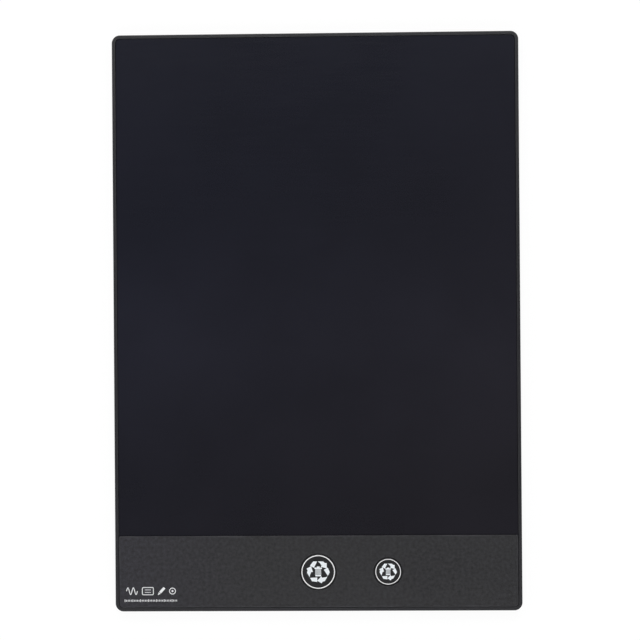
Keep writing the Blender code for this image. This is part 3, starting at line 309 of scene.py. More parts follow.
@dataclass(frozen=True)
class EdgeHighlightPlastic(MouldedPlastic):
    """Moulded plastic with a painted highlight along its outline: a narrow band painted paler, and also made
    shinier.
    """

    middle: Pair = (0.0, 0.0)
    half: Pair = (88 * MM, 125 * MM)
    reach: float = 0.45 * MM
    rub_size: float = 7 * MM
    rub_span: Pair = (0.42, 0.62)
    rub_share: Pair = (0.1, 0.9)

    def edge_highlight_and_rub(self) -> Optional[Socket]:
        """Marks a narrow band inside the outline, broken up by a slow noise.

        Returns:
            How much each place is painted paler as a highlight and made shinier.
        """
        spread = self.parts(self.vector("ABSOLUTE", self.moved(self.middle)))
        across, along = (self.math("SUBTRACT", spread[axis], self.half[axis]) for axis in (0, 1))
        edge = self.span(self.math("MAXIMUM", across, along), (-self.reach, -self.reach / 4), (0.0, 1.0))
        return self.times(edge, self.span(self.noise(self.rub_size, 4.0), self.rub_span, self.rub_share))


@dataclass(frozen=True)
class CasePlastic(EdgeHighlightPlastic):
    """The case's plastic with its painted edge highlight, and an etched underside inside a satin border."""

    border: float = 4.5 * MM
    corner: float = 3.0 * MM
    border_line: float = 0.12 * MM
    plaque_middle: Pair = (15.5 * MM, -121.0 * MM)
    plaque_half: Pair = (14.0 * MM, 5.2 * MM)
    under_span: Pair = (0.05 * MM, 0.15 * MM)
    etch_size: float = 0.80 * MM
    etch_span: Pair = (0.32, 0.68)
    etch_depth: float = 0.09 * MM
    etch_shade: float = 0.30
    etch_dull: float = 0.16

    def layers(self) -> tuple[Socket, Socket, Socket]:
        """Etches the underside inside its border: pebbles in relief, duller, with shade between them.

        Returns:
            The colour, the roughness and the bumpy normal.
        """
        base, dull, normal = super().layers()
        panel = self.inside((0.0, 0.0), (self.half[0] - self.border, self.half[1] - self.border))
        plaque = self.inside(self.plaque_middle, self.plaque_half)
        under = self.span(self.parts(self.place)["Z"], self.under_span, (1.0, 0.0))
        mask = self.times(panel, self.math("SUBTRACT", 1.0, plaque), under)
        pebble = self.span(self.noise(self.etch_size), self.etch_span, (0.0, 1.0))
        shaded = self.shaded(base, self.swing(pebble, self.etch_shade, (0.0, 1.0)))
        duller = self.math("ADD", dull, self.times(mask, self.etch_dull))
        relief = self.bumped(self.times(pebble, mask), self.etch_depth, normal)
        return self.mixed(mask, base, shaded), duller, relief

    def inside(self, middle: Pair, half: Pair) -> Socket:
        """Marks a rectangle with round corners.

        Args:
            middle: The rectangle's middle.
            half: Half its width and half its length.

        Returns:
            A value that is 1 inside it and 0 outside.
        """
        inner = (half[0] - self.corner, half[1] - self.corner, 1.0)
        spread = self.vector("ABSOLUTE", self.moved(middle, stretch=(1, 1, 0)))
        held = self.vector("MAXIMUM", self.vector("SUBTRACT", spread, inner), (0.0, 0.0, 0.0))
        away = self.vector("LENGTH", held)
        return self.span(away, (self.corner - self.border_line, self.corner), (1.0, 0.0))


@dataclass(frozen=True)
class WritingFilm(Finish):
    """Clear film over dark crystal: a deep colour that drifts along it, partly its own tint and partly
    painted reflection, with painted shade and reflection across it, a satin gloss and hairline rubs.
    """

    near: Colour
    ends: Pair
    drift_turn: float = -0.6
    # painted shade and reflection: the darker middle, the lighter band across it and the soft clouds
    middle_half: Pair = (15 * MM, 88 * MM)
    side_share: float = 0.05
    belt_middle: float = -12 * MM
    belt_half: float = 60 * MM
    belt_share: float = 0.20
    cloud_size: float = 55 * MM
    cloud_centre: Pair = (-13 * MM, -37 * MM)
    cloud_span: Pair = (0.34, 0.66)
    cloud_share: float = 0.08
    fleck_size: float = 0.7 * MM
    fleck_share: float = 0.04
    rub_size: float = 0.9 * MM
    rub_turn: float = 0.9
    rub_stretch: float = 0.05
    rub_span: Pair = (0.35, 0.75)
    gloss: Pair = (0.19, 0.22)
    ripple_size: float = 30 * MM
    ripple_depth: float = 0.008 * MM

    def dress(self) -> None:
        """Lays in the colour a slow change of colour, a darker middle of painted shade, a lighter band and
        soft clouds of painted reflection, and flecks; and rubs and a slow ripple in the gloss.
        """
        spread = self.parts(self.place)
        # partly painted reflection: the colour goes from a bluer colour at one end to the film's own colour,
        # partly its tint and partly the reflection on it
        drift = self.parts(self.moved(turn=self.drift_turn))["Y"]
        base = self.mixed(self.span(drift, self.ends, (0.0, 1.0)), self.near, self.colour)
        # painted shade: the middle of the film is painted darker than its sides
        sides = self.swing(self.math("ABSOLUTE", spread["X"]), self.side_share, self.middle_half)
        # painted reflection: a lighter band across the film's middle
        off = self.math("ABSOLUTE", self.math("SUBTRACT", spread["Y"], self.belt_middle))
        reflection_belt = self.span(off, (0.0, self.belt_half), (1 + self.belt_share, 1 - self.belt_share / 4))
        # painted reflection: soft clouds of lighter and darker colour
        cloud = self.noise(self.cloud_size, 3.0, self.moved(self.cloud_centre))
        reflection_clouds = self.swing(cloud, self.cloud_share, self.cloud_span)
        flecked = self.swing(self.noise(self.fleck_size, 1.0), self.fleck_share)
        along = self.moved(turn=self.rub_turn, stretch=(self.rub_stretch, 1, 1))
        rubs = self.noise(self.rub_size, vector=along)
        self.set(
            self.shaded(base, self.times(reflection_clouds, flecked, self.times(sides, reflection_belt))),
            self.span(rubs, self.rub_span, self.gloss),
            self.bumped(self.noise(self.ripple_size, 1.0), self.ripple_depth),
        )


@dataclass(frozen=True)
class FilmStock(Finish):
    """An inner film, tape or board with a faint calender grain along its length."""

    gloss: float = 0.35
    duller: float = 0.15
    grain_size: float = 0.8 * MM
    grain_stretch: float = 0.08
    grain_share: float = 0.12
    grain_depth: float = 0.003 * MM

    def dress(self) -> None:
        """Lays the calender grain in the colour and in the gloss."""
        grain = self.noise(self.grain_size, vector=self.moved(stretch=(1, self.grain_stretch, 1)))
        base = self.shaded(self.colour, self.swing(grain, self.grain_share))
        dull = self.span(grain, MOST, (self.gloss, self.gloss + self.duller))
        self.set(base, dull, self.bumped(grain, self.grain_depth))


class Working(Enum):
    """How a metal part was worked, which sets the way its fine lines run."""

    ROLLED = "rolled"
    TURNED = "turned"


@dataclass(frozen=True)
class WorkedMetal(Finish):
    """Metal with fine lines, straight from rolling or round from turning, and a few dull stains."""

    working: Working = Working.ROLLED
    centre: Pair = (0.0, 0.0)
    gloss: float = 0.28
    line_size: float = 0.12 * MM
    line_stretch: float = 0.03
    line_gloss: Pair = (-0.06, 0.08)
    line_depth: float = 0.002 * MM
    stain_size: float = 3.5 * MM
    stain_span: Pair = (0.45, 0.75)
    stain: float = 0.18

    def dress(self) -> None:
        """Lays the lines and the stains."""
        if self.working is Working.TURNED:
            flat = self.moved(self.centre, stretch=(1, 1, 0))
            along = self.out("ShaderNodeCombineXYZ", {"X": self.vector("LENGTH", flat)})
        else:
            along = self.moved(stretch=(self.line_stretch, 1, 1))
        lines = self.noise(self.line_size, vector=along)
        stain = self.noise(self.stain_size, 3.0)
        lined = self.span(lines, MOST, (self.gloss + self.line_gloss[0], self.gloss + self.line_gloss[1]))
        stained = self.span(stain, self.stain_span, (0.0, self.stain * 2 / 3))
        base = self.shaded(self.colour, self.span(stain, UPPER, (1 - self.stain, 1 + self.stain / 4)))
        self.set(base, self.math("ADD", lined, stained), self.bumped(lines, self.line_depth), metal=1.0)


@dataclass(frozen=True)
class FiredBody(Finish):
    """Ferrite, ceramic or moulded epoxy, speckled with its filler."""

    speck: Colour
    speck_size: float = 0.10 * MM
    speck_span: Pair = (0.18, 0.42)
    speck_share: float = 0.7
    sand_size: float = 0.15 * MM
    sand_depth: float = 0.006 * MM
    gloss: float = 0.55
    sand_gloss: Pair = (-0.08, 0.12)

    def dress(self) -> None:
        """Lays the filler's specks and a sandy grain."""
        specks = self.span(self.cells(self.speck_size), self.speck_span, (self.speck_share, 0.0))
        sand = self.noise(self.sand_size)
        dull = self.span(sand, MOST, (self.gloss + self.sand_gloss[0], self.gloss + self.sand_gloss[1]))
        self.set(self.mixed(specks, self.colour, self.speck), dull, self.bumped(sand, self.sand_depth))


@dataclass(frozen=True)
class Laminate(Finish):
    """A circuit board under green mask, with copper tracks that shine through and the weave of its cloth."""

    track: Colour
    track_size: float = 2.2 * MM
    track_span: Pair = (0.07, 0.10)
    track_depth: float = 0.03 * MM
    weave_size: float = 0.35 * MM
    weave_share: float = 0.1
    weave_depth: float = 0.004 * MM
    gloss: Pair = (0.28, 0.38)

    def dress(self) -> None:
        """Lays the tracks, the weave and the mask's own thickness."""
        track = self.span(self.cells(self.track_size, "DISTANCE_TO_EDGE"), self.track_span, (1.0, 0.0))
        weave = self.noise(self.weave_size, 1.0, self.moved(turn=math.pi / 4))
        base = self.shaded(self.mixed(track, self.colour, self.track), self.swing(weave, self.weave_share))
        cloth = self.bumped(weave, self.weave_depth)
        self.set(base, self.span(weave, MOST, self.gloss), self.bumped(track, self.track_depth, cloth))


@dataclass(frozen=True)
class FoamPad(Finish):
    """Open-cell foam, with painted shade in its holes."""

    painted_hole_shade: float = 0.35
    hole_span: Pair = (0.1, 0.55)
    cell_size: float = 0.30 * MM
    cell_depth: float = 0.12 * MM
    dull_span: Pair = (0.0, 0.6)
    gloss: Pair = (0.98, 0.85)

    def dress(self) -> None:
        """Lays open cells, whose holes are painted dark as shade."""
        cell = self.cells(self.cell_size)
        wall = self.span(cell, self.hole_span, (0.0, 1.0))
        # painted shade: the colour is darkened toward the middle of each cell's hollow
        base = self.mixed(wall, faded(self.colour, self.painted_hole_shade), self.colour)
        self.set(base, self.span(cell, self.dull_span, self.gloss), self.bumped(cell, self.cell_depth))


@dataclass(frozen=True)
class Ink(Finish):
    """Screen-printed ink: a matt film that is a little thinner here and there."""

    thin: float = 0.93
    thin_size: float = 0.7 * MM
    thin_span: Pair = (0.35, 0.6)
    grain_size: float = 0.12 * MM
    grain_depth: float = 0.003 * MM
    gloss: Pair = (0.55, 0.7)

    def dress(self) -> None:
        """Lays the mesh's fine grain and the thinner places."""
        spread = self.span(self.noise(self.thin_size), self.thin_span, (self.thin, 1.0))
        grain = self.noise(self.grain_size, 1.0)
        dull = self.span(grain, MOST, self.gloss)
        self.set(self.shaded(self.colour, spread), dull, self.bumped(grain, self.grain_depth))


def stand(name: str, data: bpy.types.ID) -> bpy.types.Object:
    """Stands something in the scene as an object.

    Args:
        name: The object's name.
        data: Its mesh, curve, light or camera.

    Returns:
        The object.
    """
    thing = bpy.data.objects.new(name, data)
    bpy.context.collection.objects.link(thing)
    return thing


def final(thing: bpy.types.Object) -> bpy.types.Mesh:
    """Takes the mesh that an object's modifiers leave, and clears the object away.

    Args:
        thing: The object.

    Returns:
        Its final mesh.
    """
    mesh = bpy.data.meshes.new_from_object(thing.evaluated_get(bpy.context.evaluated_depsgraph_get()))
    bpy.data.batch_remove((thing, thing.data))
    return mesh


def meshed(shape: bmesh.types.BMesh, name: str) -> bpy.types.Mesh:
    """Makes a mesh of an edited shape, and frees the shape.

    Args:
        shape: The shape.
        name: The mesh's name.

    Returns:
        The mesh.
    """
    mesh = bpy.data.meshes.new(name)
    shape.to_mesh(mesh)
    shape.free()
    return mesh


def merged(name: str, meshes: Sequence[bpy.types.Mesh]) -> bpy.types.Mesh:
    """Joins meshes, merges their loose corners and turns their faces outwards.

    Args:
        name: The name of the mesh that they become.
        meshes: The meshes.

    Returns:
        The joined mesh.
    """
    shape = bmesh.new()
    for mesh in meshes:
        shape.from_mesh(mesh)
    bmesh.ops.remove_doubles(shape, verts=shape.verts, dist=SAME_PLACE)
    bmesh.ops.recalc_face_normals(shape, faces=shape.faces)
    return meshed(shape, name)


@dataclass(frozen=True)
class Softening:
    """How the edges of a solid are rounded: how far, in how many steps, and which of them."""

    width: float
    segments: int = 2
    sharpest: float = 35.0
    heights: tuple[float, ...] = ()
    flat_within: ClassVar[float] = 0.4
    same_height: ClassVar[float] = 0.002 * MM

    def soften(self, shape: bmesh.types.BMesh) -> None:
        """Merges a solid's loose triangles and rounds its sharp edges, or only those at the heights.

        Args:
            shape: The solid's triangles, which become the rounded solid.
        """
        bmesh.ops.remove_doubles(shape, verts=shape.verts, dist=SAME_PLACE)
        bmesh.ops.dissolve_limit(
            shape, angle_limit=math.radians(self.flat_within), verts=shape.verts, edges=shape.edges,
        )
        sharp = [edge for edge in shape.edges if edge.calc_face_angle(0.0) >= math.radians(self.sharpest)]
        if self.heights:
            sharp = [edge for edge in sharp if any(
                all(abs(corner.co.z - height) < self.same_height for corner in edge.verts)
                for height in self.heights
            )]
        bmesh.ops.bevel(
            shape, geom=sharp, offset=self.width, offset_type="OFFSET", segments=self.segments, profile=0.5,
            affect="EDGES", clamp_overlap=True,
        )


@dataclass(frozen=True)
class Solid:
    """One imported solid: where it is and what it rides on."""

    node: str

    @property
    def shell(self) -> bpy.types.Object:
        """The solid's object in the frame."""
        return frame["nodes"][self.node]

    @functools.cached_property
    def low(self) -> Vector:
        """The solid's lowest corner."""
        return Vector(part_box(self.node)[0])

    @functools.cached_property
    def high(self) -> Vector:
        """The solid's highest corner."""
        return Vector(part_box(self.node)[1])

    @property
    def centre(self) -> Pair:
        """The middle of the solid, seen from above."""
        return tuple((self.low + self.high).xy / 2)

    def carry(self, name: str, mesh: bpy.types.Mesh, finish: Finish) -> bpy.types.Object:
        """Puts a mesh in the scene as a piece that rides on the solid's body.

        Args:
            name: The piece's name.
            mesh: Its mesh, already in place.
            finish: What it is made of.

        Returns:
            The piece.
        """
        body, slot = self.shell.parent.name[len(BODY_MARK):], self.shell.data.materials[0].name
        mesh.materials.clear()
        mesh.materials.append(finish.material)
        mesh.name = name
        piece = stand(name, mesh)
        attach(piece, body)
        LOG.info("%s has %d faces of %s and rides on %s", name, len(mesh.polygons), finish.name, body)
        return piece

    def skin(self, suffix: str, finish: Finish, *softenings: Softening) -> bpy.types.Object:
        """Stands a softened copy in for the solid, smooth but for its sharp edges and flat faces.

        Args:
            suffix: The word that ends the piece's name.
            finish: What the piece is made of.
            softenings: How its edges are rounded, one round after another.

        Returns:
            The piece.
        """
        shape = bmesh.new()
        shape.from_mesh(self.shell.data)
        for softening in softenings:
            softening.soften(shape)
        mesh = meshed(shape, self.node)
        mesh.polygons.foreach_set("use_smooth", [True] * len(mesh.polygons))
        mesh.set_sharp_from_angle(angle=math.radians(SHARP_ANGLE))
        carrier = stand(self.node, mesh)
        carrier.modifiers.new("weighted", "WEIGHTED_NORMAL").keep_sharp = True
        piece = self.carry(f"{self.node}_{suffix}", final(carrier), finish)
        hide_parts(self.node)
        return piece


def coat(**finishes: Finish) -> None:
    """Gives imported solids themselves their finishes, where their shapes stay.

    Args:
        finishes: The solids' nodes, and what each is made of.
    """
    for node, finish in finishes.items():
        Solid(node).shell.data.materials[0] = finish.material
        LOG.info("%s keeps its solid and is finished as %s", node, finish.name)


class Recipe(Graph):
    """A Geometry Nodes tree with named inputs, run on a carrier and kept as a plain mesh."""

    def __init__(self, name: str, **kinds: str) -> None:
        """Starts a tree that takes geometry, a material and sizes.

        Args:
            name: The tree's name.
            kinds: The sizes' names, and whether each is a Float, an Int or a Vector.
        """
        super().__init__(bpy.data.node_groups.new(name, "GeometryNodeTree"))
        self.tree.is_modifier = True
        self.entry = self.tree.nodes.new("NodeGroupInput")
        self.tree.interface.new_socket("Geometry", in_out="OUTPUT", socket_type="NodeSocketGeometry")
        self.codes = {
            title: self.tree.interface.new_socket(
                title.capitalize(), in_out="INPUT", socket_type=f"NodeSocket{kind}",
            ).identifier
            for title, kind in {"geometry": "Geometry", "material": "Material", **kinds}.items()
        }

    def asked(self, title: str) -> Socket:
        """Gives what comes into the tree by one of its inputs."""
        return self.entry.outputs[title.capitalize()]

    def swept(self, path: Socket, section: Socket) -> Socket:
        """Sweeps a section along a path, and closes its ends."""
        feeds = {"Curve": path, "Profile Curve": section, "Fill Caps": True}
        return self.out("GeometryNodeCurveToMesh", feeds)

    def end(self, shape: Socket) -> None:
        """Makes the instances real, sets the material and closes the tree.

        Args:
            shape: What the tree has made.
        """
        real = self.out("GeometryNodeRealizeInstances", {"Geometry": shape})
        coated = self.out("GeometryNodeSetMaterial", {"Geometry": real, "Material": self.asked("material")})
        self.add("NodeGroupOutput", {0: coated})

    def run(self, data: bpy.types.ID, **values: Feed) -> bpy.types.Mesh:
        """Runs the tree once.

        Args:
            data: The curve or mesh data that the tree starts from.
            values: The inputs' values.

        Returns:
            The result as a plain mesh.
        """
        carrier = stand(self.tree.name, data)
        modifier = carrier.modifiers.new(self.tree.name, "NODES")
        modifier.node_group = self.tree
        for title, value in values.items():
            modifier[self.codes[title]] = value
        return final(carrier)


class PrintedLine(Recipe):
    """Lays a line of even width and thickness along a path, with its corners rounded."""

    corner_steps: ClassVar[int] = 6

    def __init__(self) -> None:
        """Builds the tree: round the path's corners, then sweep a flat section along it."""
        super().__init__("printed_line", width="Float", thickness="Float", corner="Float")
        filleted = self.out("GeometryNodeFilletCurve", {
            "Curve": self.asked("geometry"), "Radius": self.asked("corner"), "Count": self.corner_steps,
            "Limit Radius": True,
        }, mode="POLY")
        level = self.out("GeometryNodeSetCurveNormal", {"Curve": filleted}, mode="Z_UP")
        sides = {"Width": self.asked("width"), "Height": self.asked("thickness")}
        self.end(self.swept(level, self.out("GeometryNodeCurvePrimitiveQuadrilateral", sides)))


class BarRow(Recipe):
    """Repeats a bar along a straight line, leaning more and more, with a longer one at even steps."""

    def __init__(self) -> None:
        """Builds the tree: points on a line, a bar on each, its lean and its length."""
        super().__init__(
            "bar_row", count="Int", start="Vector", pitch="Vector", size="Vector", lean="Float", every="Int",
            longer="Float",
        )
        points = self.out("GeometryNodeMeshLine", {
            "Count": self.asked("count"), "Start Location": self.asked("start"),
            "Offset": self.asked("pitch"),
        }, mode="OFFSET")
        index = self.out("GeometryNodeInputIndex")
        middle = self.math("DIVIDE", self.math("SUBTRACT", self.asked("count"), 1.0), 2.0)
        turn = self.times(self.math("SUBTRACT", index, middle), self.asked("lean"))
        first = self.math("LESS_THAN", self.math("MODULO", index, self.asked("every")), 0.5)
        reach = self.span(first, (0.0, 1.0), (1.0, self.asked("longer")))
        self.end(self.out("GeometryNodeInstanceOnPoints", {
            "Points": points, "Instance": self.out("GeometryNodeMeshCube", {"Size": self.asked("size")}),
            "Rotation": self.out("ShaderNodeCombineXYZ", {"Z": turn}),
            "Scale": self.out("ShaderNodeCombineXYZ", {"X": 1.0, "Y": reach, "Z": 1.0}),
        }))


class ScrewThread(Recipe):
    """Winds a ridge round an upright screw core, from the path's first point upwards."""

    turn_steps: ClassVar[int] = 40
    ridge_sides: ClassVar[int] = 4

    def __init__(self) -> None:
        """Builds the tree: a helix with a pointed section swept along it."""
        super().__init__("screw_thread", turns="Float", radius="Float", height="Float", ridge="Float")
        radius = self.asked("radius")
        helix = self.out("GeometryNodeCurveSpiral", {
            "Resolution": self.turn_steps, "Rotations": self.asked("turns"), "Height": self.asked("height"),
            "Start Radius": radius, "End Radius": radius,
        })
        ridge = {"Resolution": self.ridge_sides, "Radius": self.asked("ridge")}
        wound = self.swept(helix, self.out("GeometryNodeCurvePrimitiveCircle", ridge))
        feeds = {"Points": self.asked("geometry"), "Instance": wound}
        self.end(self.out("GeometryNodeInstanceOnPoints", feeds))


@functools.cache
def recipe(kind: type[Recipe]) -> Recipe:
    """Gives the tree of one kind, which is built once."""
    return kind()


def arc(centre: Pair, radius: float, steps: int, sweep: float = 360.0) -> list[Pair]:
    """Points on a circle, over a sweep of degrees. A whole circle's last point isn't given twice."""
    turns = [math.radians(sweep * step / steps) for step in range(steps + (sweep < 360))]
    return [(centre[0] + radius * math.cos(turn), centre[1] + radius * math.sin(turn)) for turn in turns]


def rectangle(middle: Pair, half: Pair) -> list[Pair]:
    """The corners of a rectangle, from its middle and half its sides."""
    signs = ((-1, -1), (1, -1), (1, 1), (-1, 1))
    return [(middle[0] + x * half[0], middle[1] + y * half[1]) for x, y in signs]


def turned(outline: Sequence[Pair], turn: float, about: Pair = (0.0, 0.0)) -> list[Vector]:
    """Turns the corners of an outline about a point, by radians."""
    spin, middle = Matrix.Rotation(turn, 2), Vector(about)
    return [spin @ (Vector(corner) - middle) + middle for corner in outline]


@dataclass
class PrintJob:
    """Collects the lines, plates and bars of one ink until they are laid as one piece."""

    name: str
    ink: Ink
    solid: Solid
    upward: bool = True
    meshes: list[bpy.types.Mesh] = field(default_factory=list)
    proud: ClassVar[float] = 0.02 * MM
    sunk: ClassVar[float] = 0.01 * MM
    depth: ClassVar[float] = proud + sunk

    @property
    def level(self) -> float:
        """The height of the middle of the ink."""
        lift = (self.proud - self.sunk) / 2
        return self.solid.high.z + lift if self.upward else self.solid.low.z - lift

    def stroke(
        self, points: Sequence[Pair], width: float, closed: bool = False, corner: float = 0.0,
    ) -> None:
        """Draws a line.

        Args:
            points: The places on its path.
            width: The line's width.
            closed: Whether it runs back to its start.
            corner: The radius that its corners are rounded to.
        """
        curve = bpy.data.curves.new("path", "CURVE")
        curve.dimensions = "3D"
        spline = curve.splines.new("POLY")
        spline.points.add(len(points) - 1)
        for point, place_at in zip(spline.points, points):
            point.co = (*place_at, self.level, 1.0)
        spline.use_cyclic_u = closed
        self.meshes.append(recipe(PrintedLine).run(
            curve, width=width, thickness=self.depth, corner=corner, material=self.ink.material,
        ))

    def plate(self, points: Sequence[Pair]) -> None:
        """Fills an outline.

        Args:
            points: The outline's corners, in order.
        """
        shape = bmesh.new()
        low = self.level - self.depth / 2
        face = shape.faces.new([shape.verts.new((*point, low)) for point in points])
        raised = bmesh.ops.extrude_face_region(shape, geom=[face])["geom"]
        corners = [part for part in raised if isinstance(part, bmesh.types.BMVert)]
        bmesh.ops.translate(shape, vec=(0, 0, self.depth), verts=corners)
        self.meshes.append(meshed(shape, "plate"))

    def bars(
        self, count: int, middle: Pair, pitch: Pair, size: Pair, lean: float = 0.0, every: int = 1,
        longer: float = 1.0,
    ) -> None:
        """Draws a row of bars.

        Args:
            count: How many there are.
            middle: The middle of the row.
            pitch: The step from one to the next.
            size: One bar's width and height.
            lean: The turn in radians that each has more than the last.
            every: How many there are from one longer bar to the next.
            longer: How many times as long those are.
        """
        back = (count - 1) / 2
        start = (middle[0] - back * pitch[0], middle[1] - back * pitch[1], self.level)
        self.meshes.append(recipe(BarRow).run(
            bpy.data.meshes.new("carrier"), count=count, start=start, pitch=(*pitch, 0.0),
            size=(*size, self.depth), lean=lean, every=every, longer=longer, material=self.ink.material,
        ))

    def lay(self) -> None:
        """Joins what was drawn into one piece on the solid."""
        mesh = merged(self.name, self.meshes)
        mesh.polygons.foreach_set("use_smooth", [False] * len(mesh.polygons))
        self.solid.carry(self.name, mesh, self.ink)


@dataclass
class RearCase:
    """The moulded case: its rim, its back and the two lock signs printed beside the slider."""

    # painted highlight: a narrow band along the case's outline is painted 1.3 times as light
    finish: MouldedPlastic = CasePlastic(
        "case_satin_black", tone(35, 35, 39), gloss=(0.40, 0.48), grain_depth=0.006 * MM, patch_size=26 * MM,
    )
    crown: Softening = Softening(0.30 * MM, 4, heights=(5.35 * MM,))
    rounding: Softening = Softening(0.10 * MM, 2)
    sign_ink: Ink = Ink("sign_grey_ink", tone(150, 152, 156))
    sign_gaps: Pair = (3.4 * MM, 5.4 * MM)
    sign_line: float = 0.35 * MM
    sign_half: Pair = (1.1 * MM, 0.85 * MM)
    shackle: float = 0.7 * MM
    shackle_rise: float = 0.5 * MM
    shackle_swing: float = 1.12 * MM

    def build(self) -> None:
        """Moulds the case, and prints a shut and an open padlock beside the slider, as read from below."""
        case, slider = Solid("rear_case"), Solid("lock_slider")
        case.skin("moulded", self.finish, self.crown, self.rounding)
        top = slider.centre[1] + self.sign_half[1]
        for name, x, swing in (
            ("closed", slider.low.x - self.sign_gaps[0], 0.0),
            ("open", slider.high.x + self.sign_gaps[1], self.shackle_swing),
        ):
            job = PrintJob(f"lock_sign_{name}", self.sign_ink, case, upward=False)
            job.plate(rectangle((x, slider.centre[1]), self.sign_half))
            leg = [] if swing else [(x + self.shackle, top)]
            bow = arc((x + swing, top + self.shackle_rise), self.shackle, steps=14, sweep=180)
            job.stroke([*leg, *bow, (x + swing - self.shackle, top)], self.sign_line)
            job.lay()


@dataclass
class StripSigns(PrintJob):
    """The strip's row of small signs, and the fine scale under them."""

    line: float = 0.34 * MM
    middle_y: float = -116.12 * MM
    height: float = 3.5 * MM
    wave_ends: Pair = (-83.15 * MM, -78.45 * MM)
    wave_height: float = 2.975 * MM
    wave_turns: float = 2.0
    wave_steps: int = 36
    sheet_ends: Pair = (-76.3 * MM, -71.5 * MM)
    sheet_corner: float = 0.5 * MM
    text_share: Pair = (0.55, 0.7)
    pencil_ends: Pair = (-69.6 * MM, -66.4 * MM)
    pencil_half: float = 0.55 * MM
    pencil_cuts: tuple[float, ...] = (1.3 * MM, 1.5 * MM, 4.3 * MM)
    ring_x: float = -63.2 * MM
    ring_radius: float = 1.3 * MM
    dot_radius: float = 0.45 * MM
    scale_middle: Pair = (-72.62 * MM, -120.24 * MM)
    scale_pitch: Pair = (0.68 * MM, 0.0)
    scale_count: int = 34
    scale_tick: Pair = (0.31 * MM, 0.78 * MM)
    scale_every: int = 5
    scale_longer: float = 1.4

    def draw(self) -> None:
        """Draws the signs and the scale, and lays them as one piece."""
        self.wave()
        self.sheet()
        self.pencil()
        self.ring()
        self.bars(
            self.scale_count, self.scale_middle, self.scale_pitch, self.scale_tick, every=self.scale_every,
            longer=self.scale_longer,
        )
        self.lay()

    def wave(self) -> None:
        """Draws a written wave."""
        left, right = self.wave_ends
        shares = [step / self.wave_steps for step in range(self.wave_steps + 1)]
        self.stroke([
            (left + (right - left) * share,
             self.middle_y + self.wave_height / 2 * math.sin(share * math.tau * self.wave_turns))
            for share in shares
        ], self.line)

    def sheet(self) -> None:
        """Draws a sheet on its side, with two lines of writing."""
        left, right = self.sheet_ends
        middle = ((left + right) / 2, self.middle_y)
        half = (self.height - self.line) / 2
        self.stroke(rectangle(middle, ((right - left) / 2, half)), self.line, True, self.sheet_corner)
        text = ((right - left) * self.text_share[0], self.line * self.text_share[1])
        self.bars(2, middle, (0.0, half * 2 / 3), text)

    def pencil(self) -> None:
        """Draws a leaning pencil: its point, a gap and its shaft."""
        left, right = self.pencil_ends
        along = Vector((right - left, self.height)).normalized()
        across = Vector((-along.y, along.x)) * self.pencil_half
        tip = Vector((left, self.middle_y - self.height / 2))
        neck, shoulder, end = (tip + along * cut for cut in self.pencil_cuts)
        self.plate([tip, neck - across, neck + across])
        self.plate([shoulder - across, end - across, end + across, shoulder + across])

    def ring(self) -> None:
        """Draws a ring with a dot in it."""
        self.stroke(arc((self.ring_x, self.middle_y), self.ring_radius, steps=40), self.line, closed=True)
        self.plate(arc((self.ring_x, self.middle_y), self.dot_radius, steps=20))


@dataclass
class ControlPanel:
    """The strip below the screen."""

    finish: MouldedPlastic = EdgeHighlightPlastic(
        # painted light: the second colour paints the strip's left end lighter and bluer
        "strip_fine_grain", tone(34, 34, 37), tone(38, 37, 44), (-85 * MM, -25 * MM), mottle=0.60,
        # painted highlight: a 0.8 mm band along the strip's edges is painted 2.3 times as light
        mottle_size=1.4 * MM, grain_size=0.60 * MM, grain_depth=0.10 * MM, highlight_gain=2.3, reach=0.8 * MM,
        middle=(0.0, -107.85 * MM), half=(86.3 * MM, 15.45 * MM), rub_size=12 * MM,
    )
    rounding: Softening = Softening(0.24 * MM, 4, heights=(5.5 * MM,))
    ink: Ink = Ink("sign_white_ink", tone(240, 241, 243))

    def build(self) -> None:
        """Moulds the strip and prints its signs."""
        solid = Solid("control_panel")
        solid.skin("moulded", self.finish, self.rounding)
        StripSigns("strip_signs", self.ink, solid).draw()


